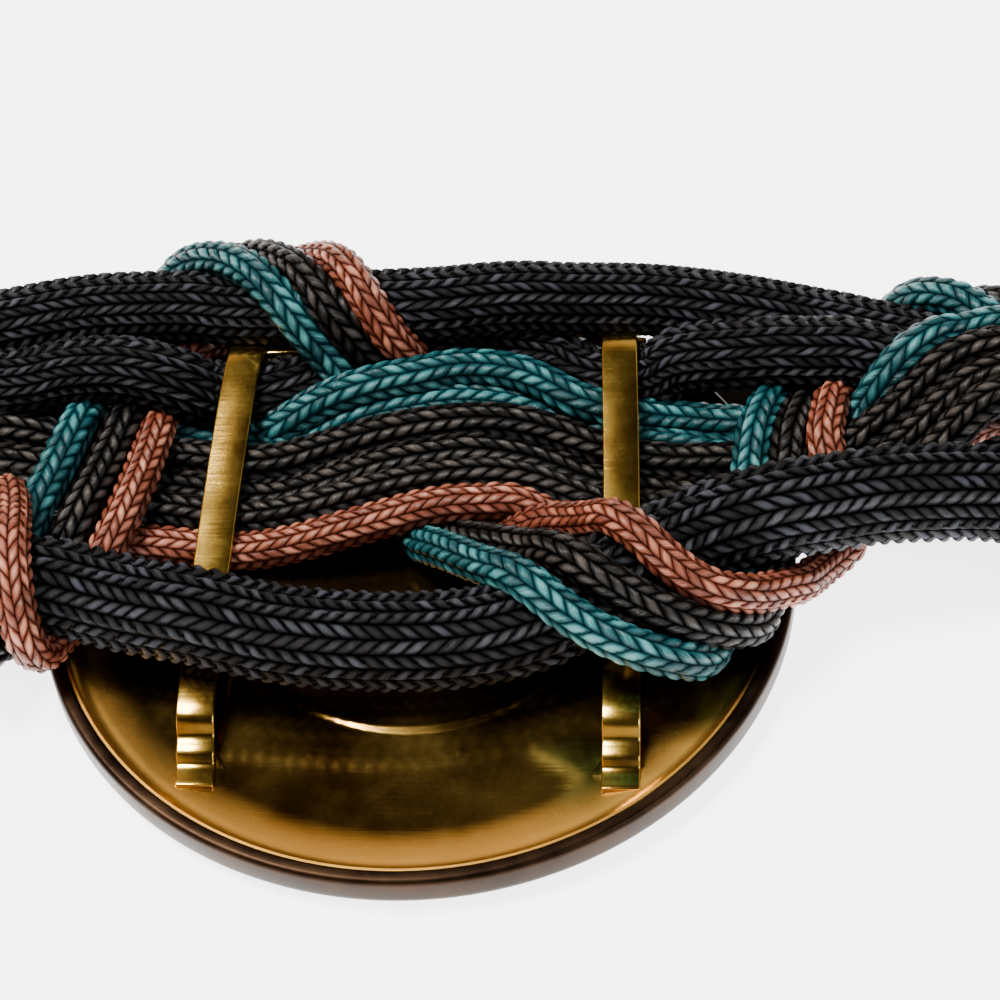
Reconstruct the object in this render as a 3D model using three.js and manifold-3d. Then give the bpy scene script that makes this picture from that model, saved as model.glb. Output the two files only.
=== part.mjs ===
// Braided cord belt with a round brass medallion, lying face down on a surface.
// Millimetres, +Z up. The medallion's face is on z = 0 around the origin, X runs along the belt and
// +Y points into the closed loop. The back of the medallion and of the braid looks up.
import * as THREE from 'three';
import { mergeVertices } from 'three/addons/utils/BufferGeometryUtils.js';
import Module from 'manifold-3d';

// Medallion
const MEDALLION_RADIUS = 38;
const RIM_HEIGHT = 4.0;
const RIM_WALL = 1.5;
const SHELL_SHEET = 1.2;
const PLATE_TOP = 2.3;
const PLATE_GAP = 0.3;
const RAISED_ROUND_RADIUS = 20;
const RAISED_ROUND_HEIGHT = 0.35;
const ROUND_SEGMENTS = 32;

// Keeper straps soldered across the back plate
const KEEPER_WIDTH = 3.7;
const KEEPER_THICKNESS = 0.8;
const KEEPER_FOOT_END = -26.6;
const KEEPER_LEG_END = 1.9;
const LEFT_KEEPER = { along: -19.3, shoulder: 25.2, slant: 0, prongLength: 5.2 };
const RIGHT_KEEPER = { along: 20.5, shoulder: 26.6, slant: -0.027, prongLength: 2.4 };
const SOLDER_PAD = { width: 5.4, length: 5.0, height: 0.3, across: -24.0 };
const PRONG = { width: 0.9, thickness: 0.5, overlap: 0.6, back: 0.6, height: 8.9 };

// Loop of the belt in plan: two straights joined by two half circles
const FRONT_HALF_STRAIGHT = 80;
const END_RADIUS = 75;
const BELT_LENGTH = 4 * FRONT_HALF_STRAIGHT + 2 * Math.PI * END_RADIUS;
const BELT_MIDDLE = -0.8;
const INNER_EDGE = 42.3;
const TWIST_START = 62;
const TWIST_END = 182;

// The rows of the plait below are noted for a braid with its middle at 0. These stretch them to the
// real braid and set it on the medallion. Its ribs lean a little along the belt near the medallion.
const STRETCH_ALONG = 1.068;
const STRETCH_ACROSS = 1.182;
const BRAID_ACROSS = 5.64;
const RIB_LEAN = -0.034;
const RIB_LEAN_END = 160;

// Cords
const THIN_RADIUS = 1.3;
const THICK_HALF_WIDTH = 4.2;
const THICK_HALF_HEIGHT = 2.6;
const CORE_PITCH = 2.65;
const CORE_HALF_HEIGHT = 1.15;
const PLAIT_PITCH = 72;
const WEFT_SPACING = 4.2;

// Clasp opposite the medallion
const CLASP_LENGTH = 14;
const CLASP_ACROSS = { low: -20.2, high: 41.8 };
const CLASP_THICKNESS = 15;
const CLASP_CORNER = 2.4;
const CORD_END = (BELT_LENGTH / 2 - CLASP_LENGTH / 2 - 0.4) / STRETCH_ALONG;
const END_STRAIGHT = 8;

const COLOURS = {
  brass: '#c79a45',
  rim: '#5a3f28',
  black: '#1b1d23',
  teal: '#2f7f83',
  rust: '#b07a63',
};

// One plait of the hidden stretches. back is the distance behind the turn round the inner edge.
const WEFT_PLAIT = [
  { back: 0, across: 29.7, height: 6.4 },
  { back: 2.5, across: 27.6, height: 1.8 },
  { back: 11.5, across: 12.4, height: 1.6 },
  { back: 13.8, across: 9.8, height: 4.7 },
  { back: 18.5, across: -6.6, height: 4.7 },
  { back: 21.5, across: -9.8, height: 1.5 },
  { back: 26, across: -18.4, height: 1.4 },
  { back: 29, across: -20.0, height: 6.2 },
  { back: 33.5, across: -17.8, height: 12.0 },
  { back: 39.5, across: -11.2, height: 12.4 },
  { back: 44, across: -8.3, height: 6.5 },
  { back: 46.5, across: -7.4, height: 1.7 },
  { back: 54.5, across: 9.3, height: 1.7 },
  { back: 57.5, across: 10.7, height: 6.0 },
  { back: 60, across: 12.6, height: 11.2 },
  { back: 68.8, across: 26.2, height: 11.4 },
];
const CORE_PLAIT = [
  { back: 0, across: 0.9, height: 3.2 },
  { back: 9, across: 0.9, height: 1.5 },
  { back: 18, across: 0.9, height: 1.5 },
  { back: 27, across: 0.9, height: 1.6 },
  { back: 38.5, across: 0.9, height: 4.8 },
  { back: 50, across: 0.9, height: 5.0 },
  { back: 62, across: 0.9, height: 4.8 },
];
const INNER_THICK = { across: 23.6, height: 6.2, stepsPerPlait: 5 };
const SECOND_THICK = { across: 15.9, height: 6.2, stepsPerPlait: 5 };
const OUTER_THICK = { across: -14.2, height: 6.2, stepsPerPlait: 7 };

// Where the plaits start on both sides of the stretch that is given row by row
const RIGHT_TURN = 54;
const LEFT_TURN = -80;
const PLAITS_PER_SIDE = 5;

// The weft ribbon near the medallion: teal, black and rust side by side, from +X to -X
const WEFT_ROWS = [
  { name: 'inner turn', teal: [49.4, 28.6, 7.0], black: [54, 28.8, 7.0], rust: [58, 29.2, 6.8] },
  { name: 'under first thick', teal: [47, 25.6, 3.4], black: [51, 25.6, 2.8], rust: [55.5, 25.6, 2.4] },
  { name: 'between thick', teal: [41.5, 19.6, 4.2], black: [45.5, 19.6, 3.0], rust: [49.5, 19.6, 2.6] },
  { name: 'under second thick', teal: [35.8, 12.6, 5.7], black: [39.2, 12.6, 5.0], rust: [42.9, 12.9, 4.5] },
  { name: 'onto core', teal: [34.0, 9.8, 7.9], black: [37.0, 10.0, 8.6], rust: [39.8, 10.5, 9.7] },
  { name: 'over core', teal: [32.0, 2.0, 7.8], black: [35.4, 2.6, 8.4], rust: [38.8, 3.4, 9.1] },
  { name: 'under outer', teal: [31.2, -4.4, 7.7], black: [34.8, -4.2, 8.3], rust: [39.0, -4.0, 8.6] },
  { name: 'outer turn low', teal: [30.4, -10.4, 5.4], black: [34.0, -9.4, 5.8], rust: [38.4, -8.6, 6.2] },
  { name: 'outer turn', teal: [28.8, -16.8, 6.2], black: [32.0, -13.8, 6.8], rust: [36.0, -11.4, 7.0] },
  { name: 'outer turn high', teal: [26.2, -19.2, 9.2], black: [29.4, -16.0, 9.8], rust: [32.6, -13.0, 10.0] },
  { name: 'up onto outer', teal: [22.0, -19.4, 11.8], black: [25.6, -15.7, 12.6], rust: [28.8, -12.2, 13.0] },
  { name: 'over outer', teal: [17.0, -17.4, 13.4], black: [20.2, -13.6, 14.2], rust: [24.2, -10.4, 14.7] },
  { name: 'over outer end', teal: [11.6, -13.6, 13.8], black: [14.6, -10.4, 13.6], rust: [18.6, -7.4, 14.0] },
  { name: 'off outer', teal: [6.2, -9.2, 11.0], black: [9.6, -7.6, 10.6], rust: [14.6, -6.2, 10.9] },
  { name: 'down to core', teal: [3.4, -7.8, 6.6], black: [7.2, -7.4, 6.6], rust: [11.8, -6.8, 6.8] },
  { name: 'under core start', teal: [2.2, -5.6, 4.0], black: [5.6, -5.0, 4.0], rust: [9.6, -4.8, 4.0] },
  { name: 'under core end', teal: [-4.8, 10.2, 4.1], black: [-1.2, 10.6, 4.1], rust: [2.4, 10.9, 4.1] },
  { name: 'up from core', teal: [-6.8, 11.1, 7.5], black: [-3.2, 12.3, 7.3], rust: [0.4, 12.6, 7.3] },
  { name: 'over second thick', teal: [-9.2, 14.0, 11.0], black: [-5.6, 14.4, 11.2], rust: [-2.0, 14.6, 11.4] },
  { name: 'over first thick', teal: [-12.4, 17.2, 14.8], black: [-8.6, 17.4, 15.2], rust: [-4.6, 17.6, 15.2] },
  { name: 'inner turn high', teal: [-18.6, 23.8, 14.8], black: [-14.6, 24.4, 15.2], rust: [-9.4, 24.4, 15.6] },
  { name: 'inner turn left', teal: [-25.2, 27.2, 9.8], black: [-19.8, 27.6, 10.0], rust: [-13.6, 27.6, 10.6] },
  { name: 'inner turn low', teal: [-27.0, 25.4, 6.0], black: [-23.0, 25.6, 5.4], rust: [-18.0, 26.0, 5.9] },
  { name: 'under first again', teal: [-29.2, 18.6, 4.8], black: [-26.2, 18.6, 5.5], rust: [-22.8, 19.0, 5.4] },
  { name: 'under second again', teal: [-31.0, 11.6, 4.4], black: [-28.2, 11.4, 5.4], rust: [-24.8, 11.2, 4.3] },
  { name: 'onto core again', teal: [-31.8, 8.8, 7.9], black: [-28.6, 8.4, 7.2], rust: [-25.3, 8.2, 6.9] },
  { name: 'over core again', teal: [-34.0, 3.0, 8.4], black: [-30.0, 2.2, 7.7], rust: [-26.2, 1.2, 7.1] },
  { name: 'off core again', teal: [-36.4, -5.0, 8.9], black: [-32.4, -5.0, 8.1], rust: [-28.4, -5.4, 7.3] },
  { name: 'under outer again', teal: [-37.8, -9.8, 5.8], black: [-34.6, -10.0, 5.7], rust: [-31.0, -10.4, 5.2] },
  { name: 'second outer turn low', teal: [-42.0, -16.2, 5.7], black: [-38.2, -16.8, 5.7], rust: [-33.8, -17.0, 5.8] },
  { name: 'second outer turn', teal: [-45.0, -19.2, 10.9], black: [-40.4, -19.3, 11.2], rust: [-35.0, -19.3, 11.3] },
  { name: 'over outer again', teal: [-47.0, -14.2, 14.3], black: [-42.2, -14.2, 14.9], rust: [-36.2, -14.2, 14.8] },
  { name: 'over outer again end', teal: [-49.2, -9.0, 13.0], black: [-44.6, -9.0, 13.8], rust: [-38.2, -8.9, 13.6] },
  { name: 'down to core again', teal: [-51.4, -7.4, 6.0], black: [-46.8, -7.4, 6.2], rust: [-41.2, -7.4, 6.2] },
  { name: 'under core again', teal: [-53.6, -5.2, 3.2], black: [-49.2, -5.2, 3.9], rust: [-43.8, -5.2, 4.2] },
  { name: 'under core again end', teal: [-62.4, 9.2, 1.8], black: [-58.2, 9.2, 2.2], rust: [-53.6, 9.3, 2.8] },
  { name: 'up from core again', teal: [-65.2, 10.4, 5.8], black: [-61.0, 10.3, 6.0], rust: [-56.6, 10.2, 6.4] },
  { name: 'over second again', teal: [-68.2, 12.6, 11.4], black: [-64.0, 12.6, 11.2], rust: [-60.0, 12.6, 11.4] },
  { name: 'over first again', teal: [-80.8, 26.2, 11.4], black: [-76.8, 26.2, 11.4], rust: [-72.6, 26.2, 11.4] },
];

// The flat core of thin cords near the medallion, from +X to -X. spread widens the row of cords.
const CORE_ROWS = [
  { along: 77, across: 0.9, height: 5.0, spread: 1.0, roll: 0 },
  { along: 71, across: 2.4, height: 9.6, spread: 1.0, roll: 0 },
  { along: 66, across: 5.0, height: 13.6, spread: 1.0, roll: 0 },
  { along: 60.5, across: 7.6, height: 13.8, spread: 1.0, roll: 0 },
  { along: 55, across: 9.7, height: 13.2, spread: 1.0, roll: 0 },
  { along: 50.5, across: 8.0, height: 11.4, spread: 1.0, roll: 10 },
  { along: 46, across: 4.6, height: 8.4, spread: 0.98, roll: 14 },
  { along: 41.5, across: 2.4, height: 6.0, spread: 0.94, roll: 3 },
  { along: 36.5, across: 2.4, height: 5.7, spread: 0.94, roll: 0 },
  { along: 31, across: 2.6, height: 5.25, spread: 0.94, roll: 0 },
  { along: 26, across: 2.6, height: 4.1, spread: 0.94, roll: 0 },
  { along: 20, across: 2.3, height: 3.9, spread: 0.94, roll: 0 },
  { along: 15, across: 2.5, height: 5.0, spread: 0.94, roll: 0 },
  { along: 10, across: 2.9, height: 6.8, spread: 0.98, roll: 1 },
  { along: 4, across: 3.0, height: 7.0, spread: 1.0, roll: 2 },
  { along: -3, across: 2.4, height: 7.0, spread: 1.0, roll: 2 },
  { along: -8, across: 1.9, height: 6.2, spread: 0.98, roll: 1 },
  { along: -13, across: 1.3, height: 4.6, spread: 0.94, roll: 0 },
  { along: -18, across: 0.9, height: 3.9, spread: 0.94, roll: 0 },
  { along: -26, across: 0.9, height: 4.1, spread: 0.94, roll: 0 },
  { along: -31.5, across: 1.1, height: 5.4, spread: 0.94, roll: 0 },
  { along: -36, across: 1.3, height: 5.7, spread: 0.94, roll: 0 },
  { along: -41.5, across: 1.5, height: 7.8, spread: 0.94, roll: 0 },
  { along: -48, across: 1.4, height: 7.3, spread: 0.94, roll: 0 },
  { along: -56, across: 1.2, height: 6.1, spread: 0.96, roll: 0 },
  { along: -64, across: 1.0, height: 5.0, spread: 0.98, roll: 0 },
  { along: -71, across: 0.9, height: 4.0, spread: 1.0, roll: 0 },
];

// The three thick cords near the medallion, from +X to -X
const FIRST_THICK_ROWS = [
  { along: 72, across: 23.6, height: 6.2 },
  { along: 63, across: 23.4, height: 6.6 },
  { along: 54, across: 23.0, height: 7.0 },
  { along: 46, across: 23.0, height: 7.8 },
  { along: 39, across: 23.2, height: 9.0 },
  { along: 30, across: 22.8, height: 9.6 },
  { along: 20, across: 22.2, height: 9.2 },
  { along: 10, across: 21.8, height: 10.4 },
  { along: 0, across: 21.6, height: 11.2 },
  { along: -9, across: 21.4, height: 11.2 },
  { along: -16, across: 21.4, height: 10.4 },
  { along: -23, across: 21.4, height: 9.6 },
  { along: -32, across: 21.2, height: 9.8 },
  { along: -41, across: 20.8, height: 9.2 },
  { along: -49, across: 21.6, height: 7.6 },
  { along: -58, across: 23.0, height: 6.6 },
];
const SECOND_THICK_ROWS = [
  { along: 72, across: 15.9, height: 6.2 },
  { along: 63, across: 15.8, height: 6.6 },
  { along: 54, across: 15.5, height: 7.0 },
  { along: 46, across: 15.5, height: 7.8 },
  { along: 40, across: 15.6, height: 8.9 },
  { along: 33, across: 15.1, height: 9.8 },
  { along: 27, across: 14.5, height: 7.2 },
  { along: 21, across: 13.4, height: 5.6 },
  { along: 11, across: 15.0, height: 5.6 },
  { along: 4, across: 17.0, height: 5.6 },
  { along: -2, across: 17.0, height: 5.6 },
  { along: -9, across: 15.3, height: 5.6 },
  { along: -15.2, across: 12.2, height: 5.6 },
  { along: -20.2, across: 12.0, height: 5.7 },
  { along: -24.0, across: 13.2, height: 9.6 },
  { along: -31, across: 13.6, height: 9.6 },
  { along: -40, across: 13.2, height: 9.4 },
  { along: -49, across: 14.0, height: 7.8 },
  { along: -58, across: 15.3, height: 6.6 },
];
const OUTER_THICK_ROWS = [
  { along: 88, across: -14.2, height: 6.2 },
  { along: 79, across: -14.2, height: 6.3 },
  { along: 71, across: -11.4, height: 7.0 },
  { along: 64, across: -7.0, height: 8.6 },
  { along: 58, across: -4.4, height: 10.0 },
  { along: 52, across: -3.2, height: 11.4 },
  { along: 46, across: -3.0, height: 12.3 },
  { along: 39, across: -3.2, height: 12.7 },
  { along: 32, across: -4.2, height: 12.3 },
  { along: 26, across: -6.8, height: 11.2 },
  { along: 20.5, across: -10.0, height: 10.2 },
  { along: 15, across: -13.2, height: 9.4 },
  { along: 8, across: -15.8, height: 9.0 },
  { along: 0, across: -16.8, height: 9.2 },
  { along: -9, across: -16.4, height: 9.6 },
  { along: -18, across: -15.2, height: 9.9 },
  { along: -26, across: -14.2, height: 10.1 },
  { along: -34, across: -13.4, height: 10.2 },
  { along: -42, across: -13.2, height: 10.1 },
  { along: -50, across: -13.4, height: 8.8 },
  { along: -60, across: -14.0, height: 6.8 },
];

// Where a point of the braid lies: along the belt, across it towards the inner edge, and its height
// above the side that faces the surface at the medallion. Behind the medallion's stretch the braid
// turns on edge, as a closed belt does on a table, with its inner edge resting on the surface.
function beltDirections(along) {
  const distance = Math.abs(along);
  const side = Math.sign(along) || 1;
  const bendLength = Math.PI * END_RADIUS;
  const turned = THREE.MathUtils.clamp((distance - FRONT_HALF_STRAIGHT) / bendLength, 0, 1) * Math.PI;
  const straight = Math.min(distance, FRONT_HALF_STRAIGHT);
  const rearStraight = Math.max(0, distance - FRONT_HALF_STRAIGHT - bendLength);
  const edge = new THREE.Vector3(
    BELT_MIDDLE + side * (straight + END_RADIUS * Math.sin(turned) - rearStraight),
    INNER_EDGE + END_RADIUS * (1 - Math.cos(turned)),
    0,
  );
  const inward = new THREE.Vector3(-side * Math.sin(turned), Math.cos(turned), 0);
  const twist = THREE.MathUtils.smoothstep(distance, TWIST_START, TWIST_END) * Math.PI / 2;
  const up = new THREE.Vector3(0, 0, 1);
  return {
    edge,
    across: inward.clone().multiplyScalar(Math.cos(twist)).addScaledVector(up, -Math.sin(twist)),
    outOfBack: inward.clone().multiplyScalar(Math.sin(twist)).addScaledVector(up, Math.cos(twist)),
  };
}

function realAlong({ along, across }) {
  const fading = THREE.MathUtils.smoothstep(Math.abs(along), FRONT_HALF_STRAIGHT, RIB_LEAN_END);
  return along * STRETCH_ALONG + across * RIB_LEAN * (1 - fading);
}

function onBelt(row) {
  const directions = beltDirections(realAlong(row));
  const across = row.across * STRETCH_ACROSS + BRAID_ACROSS;
  return directions.edge
    .addScaledVector(directions.across, across - INNER_EDGE)
    .addScaledVector(directions.outOfBack, row.height);
}

// A cord's route through its rows. An upright cord keeps its section level with the braid.
class CordRoute extends THREE.Curve {
  constructor(rows, upright) {
    super();
    this.rows = rows;
    this.upright = upright;
    this.points = rows.map(onBelt);
  }

  getSpacedPoints() {
    return this.points;
  }

  tangentAt(index) {
    const before = this.points[Math.max(index - 1, 0)];
    const after = this.points[Math.min(index + 1, this.points.length - 1)];
    return after.clone().sub(before).normalize();
  }

  computeFrenetFrames() {
    const frames = { tangents: [], normals: [], binormals: [] };
    let lean = beltDirections(realAlong(this.rows[0])).outOfBack;
    this.rows.forEach((row, index) => {
      const tangent = this.tangentAt(index);
      if (this.upright) {
        lean = beltDirections(realAlong(row)).outOfBack;
      }
      lean = lean.clone().addScaledVector(tangent, -lean.dot(tangent)).normalize();
      frames.tangents.push(tangent);
      frames.binormals.push(lean);
      frames.normals.push(lean.clone().cross(tangent));
    });
    return frames;
  }
}

function cordGeometry(rows, section, upright) {
  return new THREE.ExtrudeGeometry(new THREE.Shape(section), {
    steps: rows.length - 1,
    extrudePath: new CordRoute(rows, upright),
  });
}

// Sections
function roundSection(radius, sides) {
  return Array.from({ length: sides }, (_, side) => {
    const angle = (2 * Math.PI * side) / sides;
    return new THREE.Vector2(radius * Math.cos(angle), radius * Math.sin(angle));
  });
}

function flatSection(halfWidth, halfHeight, bevel) {
  const shoulder = halfWidth - bevel;
  return [
    new THREE.Vector2(halfWidth, 0),
    new THREE.Vector2(shoulder, halfHeight),
    new THREE.Vector2(-shoulder, halfHeight),
    new THREE.Vector2(-halfWidth, 0),
    new THREE.Vector2(-shoulder, -halfHeight),
    new THREE.Vector2(shoulder, -halfHeight),
  ];
}

// Rows of a whole cord: repeated plaits to the right, the rows near the medallion, plaits to the left
function plaitStarts() {
  const starts = { right: [], left: [] };
  for (let plait = PLAITS_PER_SIDE; plait >= 1; plait -= 1) {
    starts.right.push(RIGHT_TURN + plait * PLAIT_PITCH);
  }
  for (let plait = 0; plait < PLAITS_PER_SIDE; plait += 1) {
    starts.left.push(LEFT_TURN - plait * PLAIT_PITCH);
  }
  return starts;
}

function wholeCord(plaitRows, seenRows) {
  const first = seenRows[0].along;
  const last = seenRows[seenRows.length - 1].along;
  const { right, left } = plaitStarts();
  const repeated = (starts) => starts.flatMap((start) =>
    plaitRows.map((row) => ({ ...row, along: start - row.back })));
  const rows = [
    ...repeated(right).filter((row) => row.along > first + 3 && row.along < CORD_END - END_STRAIGHT),
    ...seenRows,
    ...repeated(left).filter((row) => row.along < last - 3 && row.along > END_STRAIGHT - CORD_END),
  ];
  return [
    { ...rows[0], along: CORD_END },
    ...rows,
    { ...rows[rows.length - 1], along: -CORD_END },
  ];
}

function thickCord({ across, height, stepsPerPlait }, seenRows) {
  const plaitRows = Array.from({ length: stepsPerPlait }, (_, step) => ({
    back: (step * PLAIT_PITCH) / stepsPerPlait,
    across,
    height,
  }));
  return wholeCord(plaitRows, seenRows);
}

function weftCord(colour, shift) {
  const seenRows = WEFT_ROWS.map((row) => {
    const [along, across, height] = row[colour];
    return { along, across, height };
  });
  const plaitRows = WEFT_PLAIT.map((row) => ({ ...row, back: row.back - shift }));
  return wholeCord(plaitRows, seenRows);
}

function corePart(cordsFromMiddle) {
  const plaitRows = CORE_PLAIT.map((row) => ({ ...row, spread: 1, roll: 0 }));
  const rows = wholeCord(plaitRows, CORE_ROWS);
  return rows.map((row, index) => {
    const before = rows[Math.max(index - 1, 0)];
    const after = rows[Math.min(index + 1, rows.length - 1)];
    const heading = Math.atan2(after.across - before.across, before.along - after.along);
    const offset = cordsFromMiddle * CORE_PITCH * row.spread;
    const roll = THREE.MathUtils.degToRad(row.roll);
    return {
      along: row.along + offset * Math.cos(roll) * Math.sin(heading),
      across: row.across + offset * Math.cos(roll) * Math.cos(heading),
      height: row.height + offset * Math.sin(roll),
    };
  });
}

// Brass
function bentStripOutline(centreLine, thickness) {
  const sideOf = (sign) => centreLine.map((point, index) => {
    const before = centreLine[Math.max(index - 1, 0)];
    const after = centreLine[Math.min(index + 1, centreLine.length - 1)];
    const inDirection = point.clone().sub(before).normalize();
    const outDirection = after.clone().sub(point).normalize();
    const direction = inDirection.clone().add(outDirection).normalize();
    const bendCosine = Math.max(direction.dot(index === 0 ? outDirection : inDirection), 0.5);
    const reach = (sign * thickness) / 2 / bendCosine;
    return new THREE.Vector2(point.x - direction.y * reach, point.y + direction.x * reach);
  });
  return [...sideOf(-1), ...sideOf(1).reverse()];
}

function keeperGeometry({ along, shoulder, slant }) {
  const footHeight = PLATE_TOP + KEEPER_THICKNESS / 2 - 0.05;
  const centreLine = [
    [KEEPER_FOOT_END, footHeight],
    [-23.2, footHeight],
    [-21.4, 4.5],
    [-13.3, 5.4],
    [-3.8, 6.1],
    [5.6, 7.2],
    [shoulder - 1.4, 9.6],
    [shoulder, 8.4],
    [shoulder, KEEPER_LEG_END],
  ].map(([across, height]) => new THREE.Vector2(across, height));
  const outline = new THREE.Shape(bentStripOutline(centreLine, KEEPER_THICKNESS));
  const strip = new THREE.ExtrudeGeometry(outline, { depth: KEEPER_WIDTH, bevelEnabled: false });
  strip.rotateX(Math.PI / 2);
  strip.rotateZ(Math.PI / 2);
  strip.translate(along - KEEPER_WIDTH / 2, 0, 0);
  const lean = new THREE.Matrix4().makeShear(0, 0, slant, 0, 0, 0);
  return strip.applyMatrix4(lean);
}

function solderPadGeometry({ along, slant }) {
  const pad = new THREE.BoxGeometry(SOLDER_PAD.width, SOLDER_PAD.length, SOLDER_PAD.height * 2);
  return pad.translate(along + slant * SOLDER_PAD.across, SOLDER_PAD.across, PLATE_TOP);
}

function prongGeometry({ along, shoulder, slant, prongLength }) {
  const prong = new THREE.BoxGeometry(prongLength, PRONG.width, PRONG.thickness);
  const middle = along + slant * shoulder + (KEEPER_WIDTH + prongLength) / 2 - PRONG.overlap;
  return prong.translate(middle, shoulder - PRONG.back, PRONG.height);
}

function plateGeometry() {
  const inside = MEDALLION_RADIUS - RIM_WALL - PLATE_GAP;
  const under = SHELL_SHEET + PLATE_GAP;
  const roundTop = PLATE_TOP + RAISED_ROUND_HEIGHT;
  const profile = [
    [0, under],
    [inside, under],
    [inside, RIM_HEIGHT - 0.5],
    [inside - 0.9, PLATE_TOP + 0.5],
    [inside - 2.4, PLATE_TOP],
    [RAISED_ROUND_RADIUS + 0.8, PLATE_TOP],
    [RAISED_ROUND_RADIUS, roundTop],
    [0, roundTop],
  ].map(([radius, height]) => new THREE.Vector2(radius, height));
  return new THREE.LatheGeometry(profile, ROUND_SEGMENTS).rotateX(Math.PI / 2);
}

function shellGeometry() {
  const rimInside = MEDALLION_RADIUS - RIM_WALL;
  const profile = [
    [0, 0],
    [MEDALLION_RADIUS - 1.6, 0],
    [MEDALLION_RADIUS - 0.3, 0.8],
    [MEDALLION_RADIUS, 1.9],
    [MEDALLION_RADIUS, RIM_HEIGHT - 0.8],
    [MEDALLION_RADIUS - 0.5, RIM_HEIGHT],
    [rimInside + 0.2, RIM_HEIGHT],
    [rimInside, RIM_HEIGHT - 0.4],
    [rimInside, SHELL_SHEET],
    [0, SHELL_SHEET],
  ].map(([radius, height]) => new THREE.Vector2(radius, height));
  return new THREE.LatheGeometry(profile, ROUND_SEGMENTS).rotateX(Math.PI / 2);
}

// Solids of soldered metal are joined
const wasm = await Module();
wasm.setup();

function solidOf(geometry) {
  const bare = geometry.clone();
  bare.deleteAttribute('normal');
  bare.deleteAttribute('uv');
  const welded = mergeVertices(bare, 1e-4);
  return new wasm.Manifold(new wasm.Mesh({
    numProp: 3,
    vertProperties: new Float32Array(welded.attributes.position.array),
    triVerts: new Uint32Array(welded.index.array),
  }));
}

function geometryOf(solid) {
  const mesh = solid.getMesh();
  const geometry = new THREE.BufferGeometry();
  geometry.setAttribute('position', new THREE.BufferAttribute(mesh.vertProperties, 3));
  geometry.setIndex(new THREE.BufferAttribute(mesh.triVerts, 1));
  geometry.computeVertexNormals();
  return geometry;
}

function backPlateWithKeepers() {
  const pieces = [LEFT_KEEPER, RIGHT_KEEPER].flatMap((keeper) => [
    keeperGeometry(keeper),
    solderPadGeometry(keeper),
    prongGeometry(keeper),
  ]);
  const whole = pieces.reduce((solid, piece) => solid.add(solidOf(piece)), solidOf(plateGeometry()));
  return geometryOf(whole);
}

function claspGeometry() {
  const width = CLASP_ACROSS.high - CLASP_ACROSS.low;
  const outline = new THREE.Shape();
  const x = CLASP_THICKNESS / 2;
  const y = width / 2;
  const corner = CLASP_CORNER;
  outline.moveTo(x - corner, -y);
  outline.absarc(x - corner, corner - y, corner, -Math.PI / 2, 0);
  outline.absarc(x - corner, y - corner, corner, 0, Math.PI / 2);
  outline.absarc(corner - x, y - corner, corner, Math.PI / 2, Math.PI);
  outline.absarc(corner - x, corner - y, corner, Math.PI, 1.5 * Math.PI);
  const block = new THREE.ExtrudeGeometry(outline, {
    depth: CLASP_LENGTH,
    bevelEnabled: false,
    curveSegments: 3,
  });
  block.rotateY(Math.PI / 2);
  block.rotateX(Math.PI / 2);
  return block;
}

// Assembly
const belt = new THREE.Group();
belt.name = 'braided_cord_belt';

function addPart(name, geometry, colour, roughness, metalness) {
  const material = new THREE.MeshStandardMaterial({ color: colour, roughness, metalness });
  const mesh = new THREE.Mesh(geometry, material);
  mesh.name = name;
  belt.add(mesh);
  return mesh;
}

addPart('medallion_shell', shellGeometry(), COLOURS.rim, 0.5, 1);
addPart('back_plate', backPlateWithKeepers(), COLOURS.brass, 0.25, 1);

const thick = flatSection(THICK_HALF_WIDTH, THICK_HALF_HEIGHT, 1.6);
const thickCords = [
  { name: 'thick_cord_inner', hidden: INNER_THICK, seen: FIRST_THICK_ROWS },
  { name: 'thick_cord_second', hidden: SECOND_THICK, seen: SECOND_THICK_ROWS },
  { name: 'thick_cord_outer', hidden: OUTER_THICK, seen: OUTER_THICK_ROWS },
];
thickCords.forEach(({ name, hidden, seen }) => {
  addPart(name, cordGeometry(thickCord(hidden, seen), thick, true), COLOURS.black, 0.9, 0);
});

function coreBandSection(cords) {
  return flatSection((cords * CORE_PITCH * STRETCH_ACROSS) / 2 - 0.3, CORE_HALF_HEIGHT, 0.6);
}

const coreParts = [
  { name: 'core_teal', fromMiddle: 2, section: coreBandSection(2), colour: COLOURS.teal },
  { name: 'core_black', fromMiddle: -0.5, section: coreBandSection(3), colour: COLOURS.black },
  { name: 'core_rust', fromMiddle: -2.5, section: roundSection(CORE_HALF_HEIGHT, 5), colour: COLOURS.rust },
];
coreParts.forEach(({ name, fromMiddle, section, colour }) => {
  addPart(name, cordGeometry(corePart(fromMiddle), section, true), colour, 0.7, 0);
});

const weftCords = [
  { name: 'weft_teal', colour: 'teal', shift: -WEFT_SPACING },
  { name: 'weft_black', colour: 'black', shift: 0 },
  { name: 'weft_rust', colour: 'rust', shift: WEFT_SPACING },
];
weftCords.forEach(({ name, colour, shift }) => {
  const section = roundSection(THIN_RADIUS, 5);
  addPart(name, cordGeometry(weftCord(colour, shift), section, false), COLOURS[colour], 0.6, 0);
});

const clasp = addPart('clasp', claspGeometry(), COLOURS.brass, 0.35, 1);
clasp.position.set(
  BELT_MIDDLE - CLASP_LENGTH / 2,
  INNER_EDGE + 2 * END_RADIUS - CLASP_THICKNESS / 2,
  INNER_EDGE - (CLASP_ACROSS.high + CLASP_ACROSS.low) / 2,
);

export default belt;
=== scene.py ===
"""Braided cord belt with a round brass medallion, lying face down on a pale table."""
import math

import bmesh
import bpy
import numpy as np
from mathutils import Matrix, Vector
from mathutils.kdtree import KDTree


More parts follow.
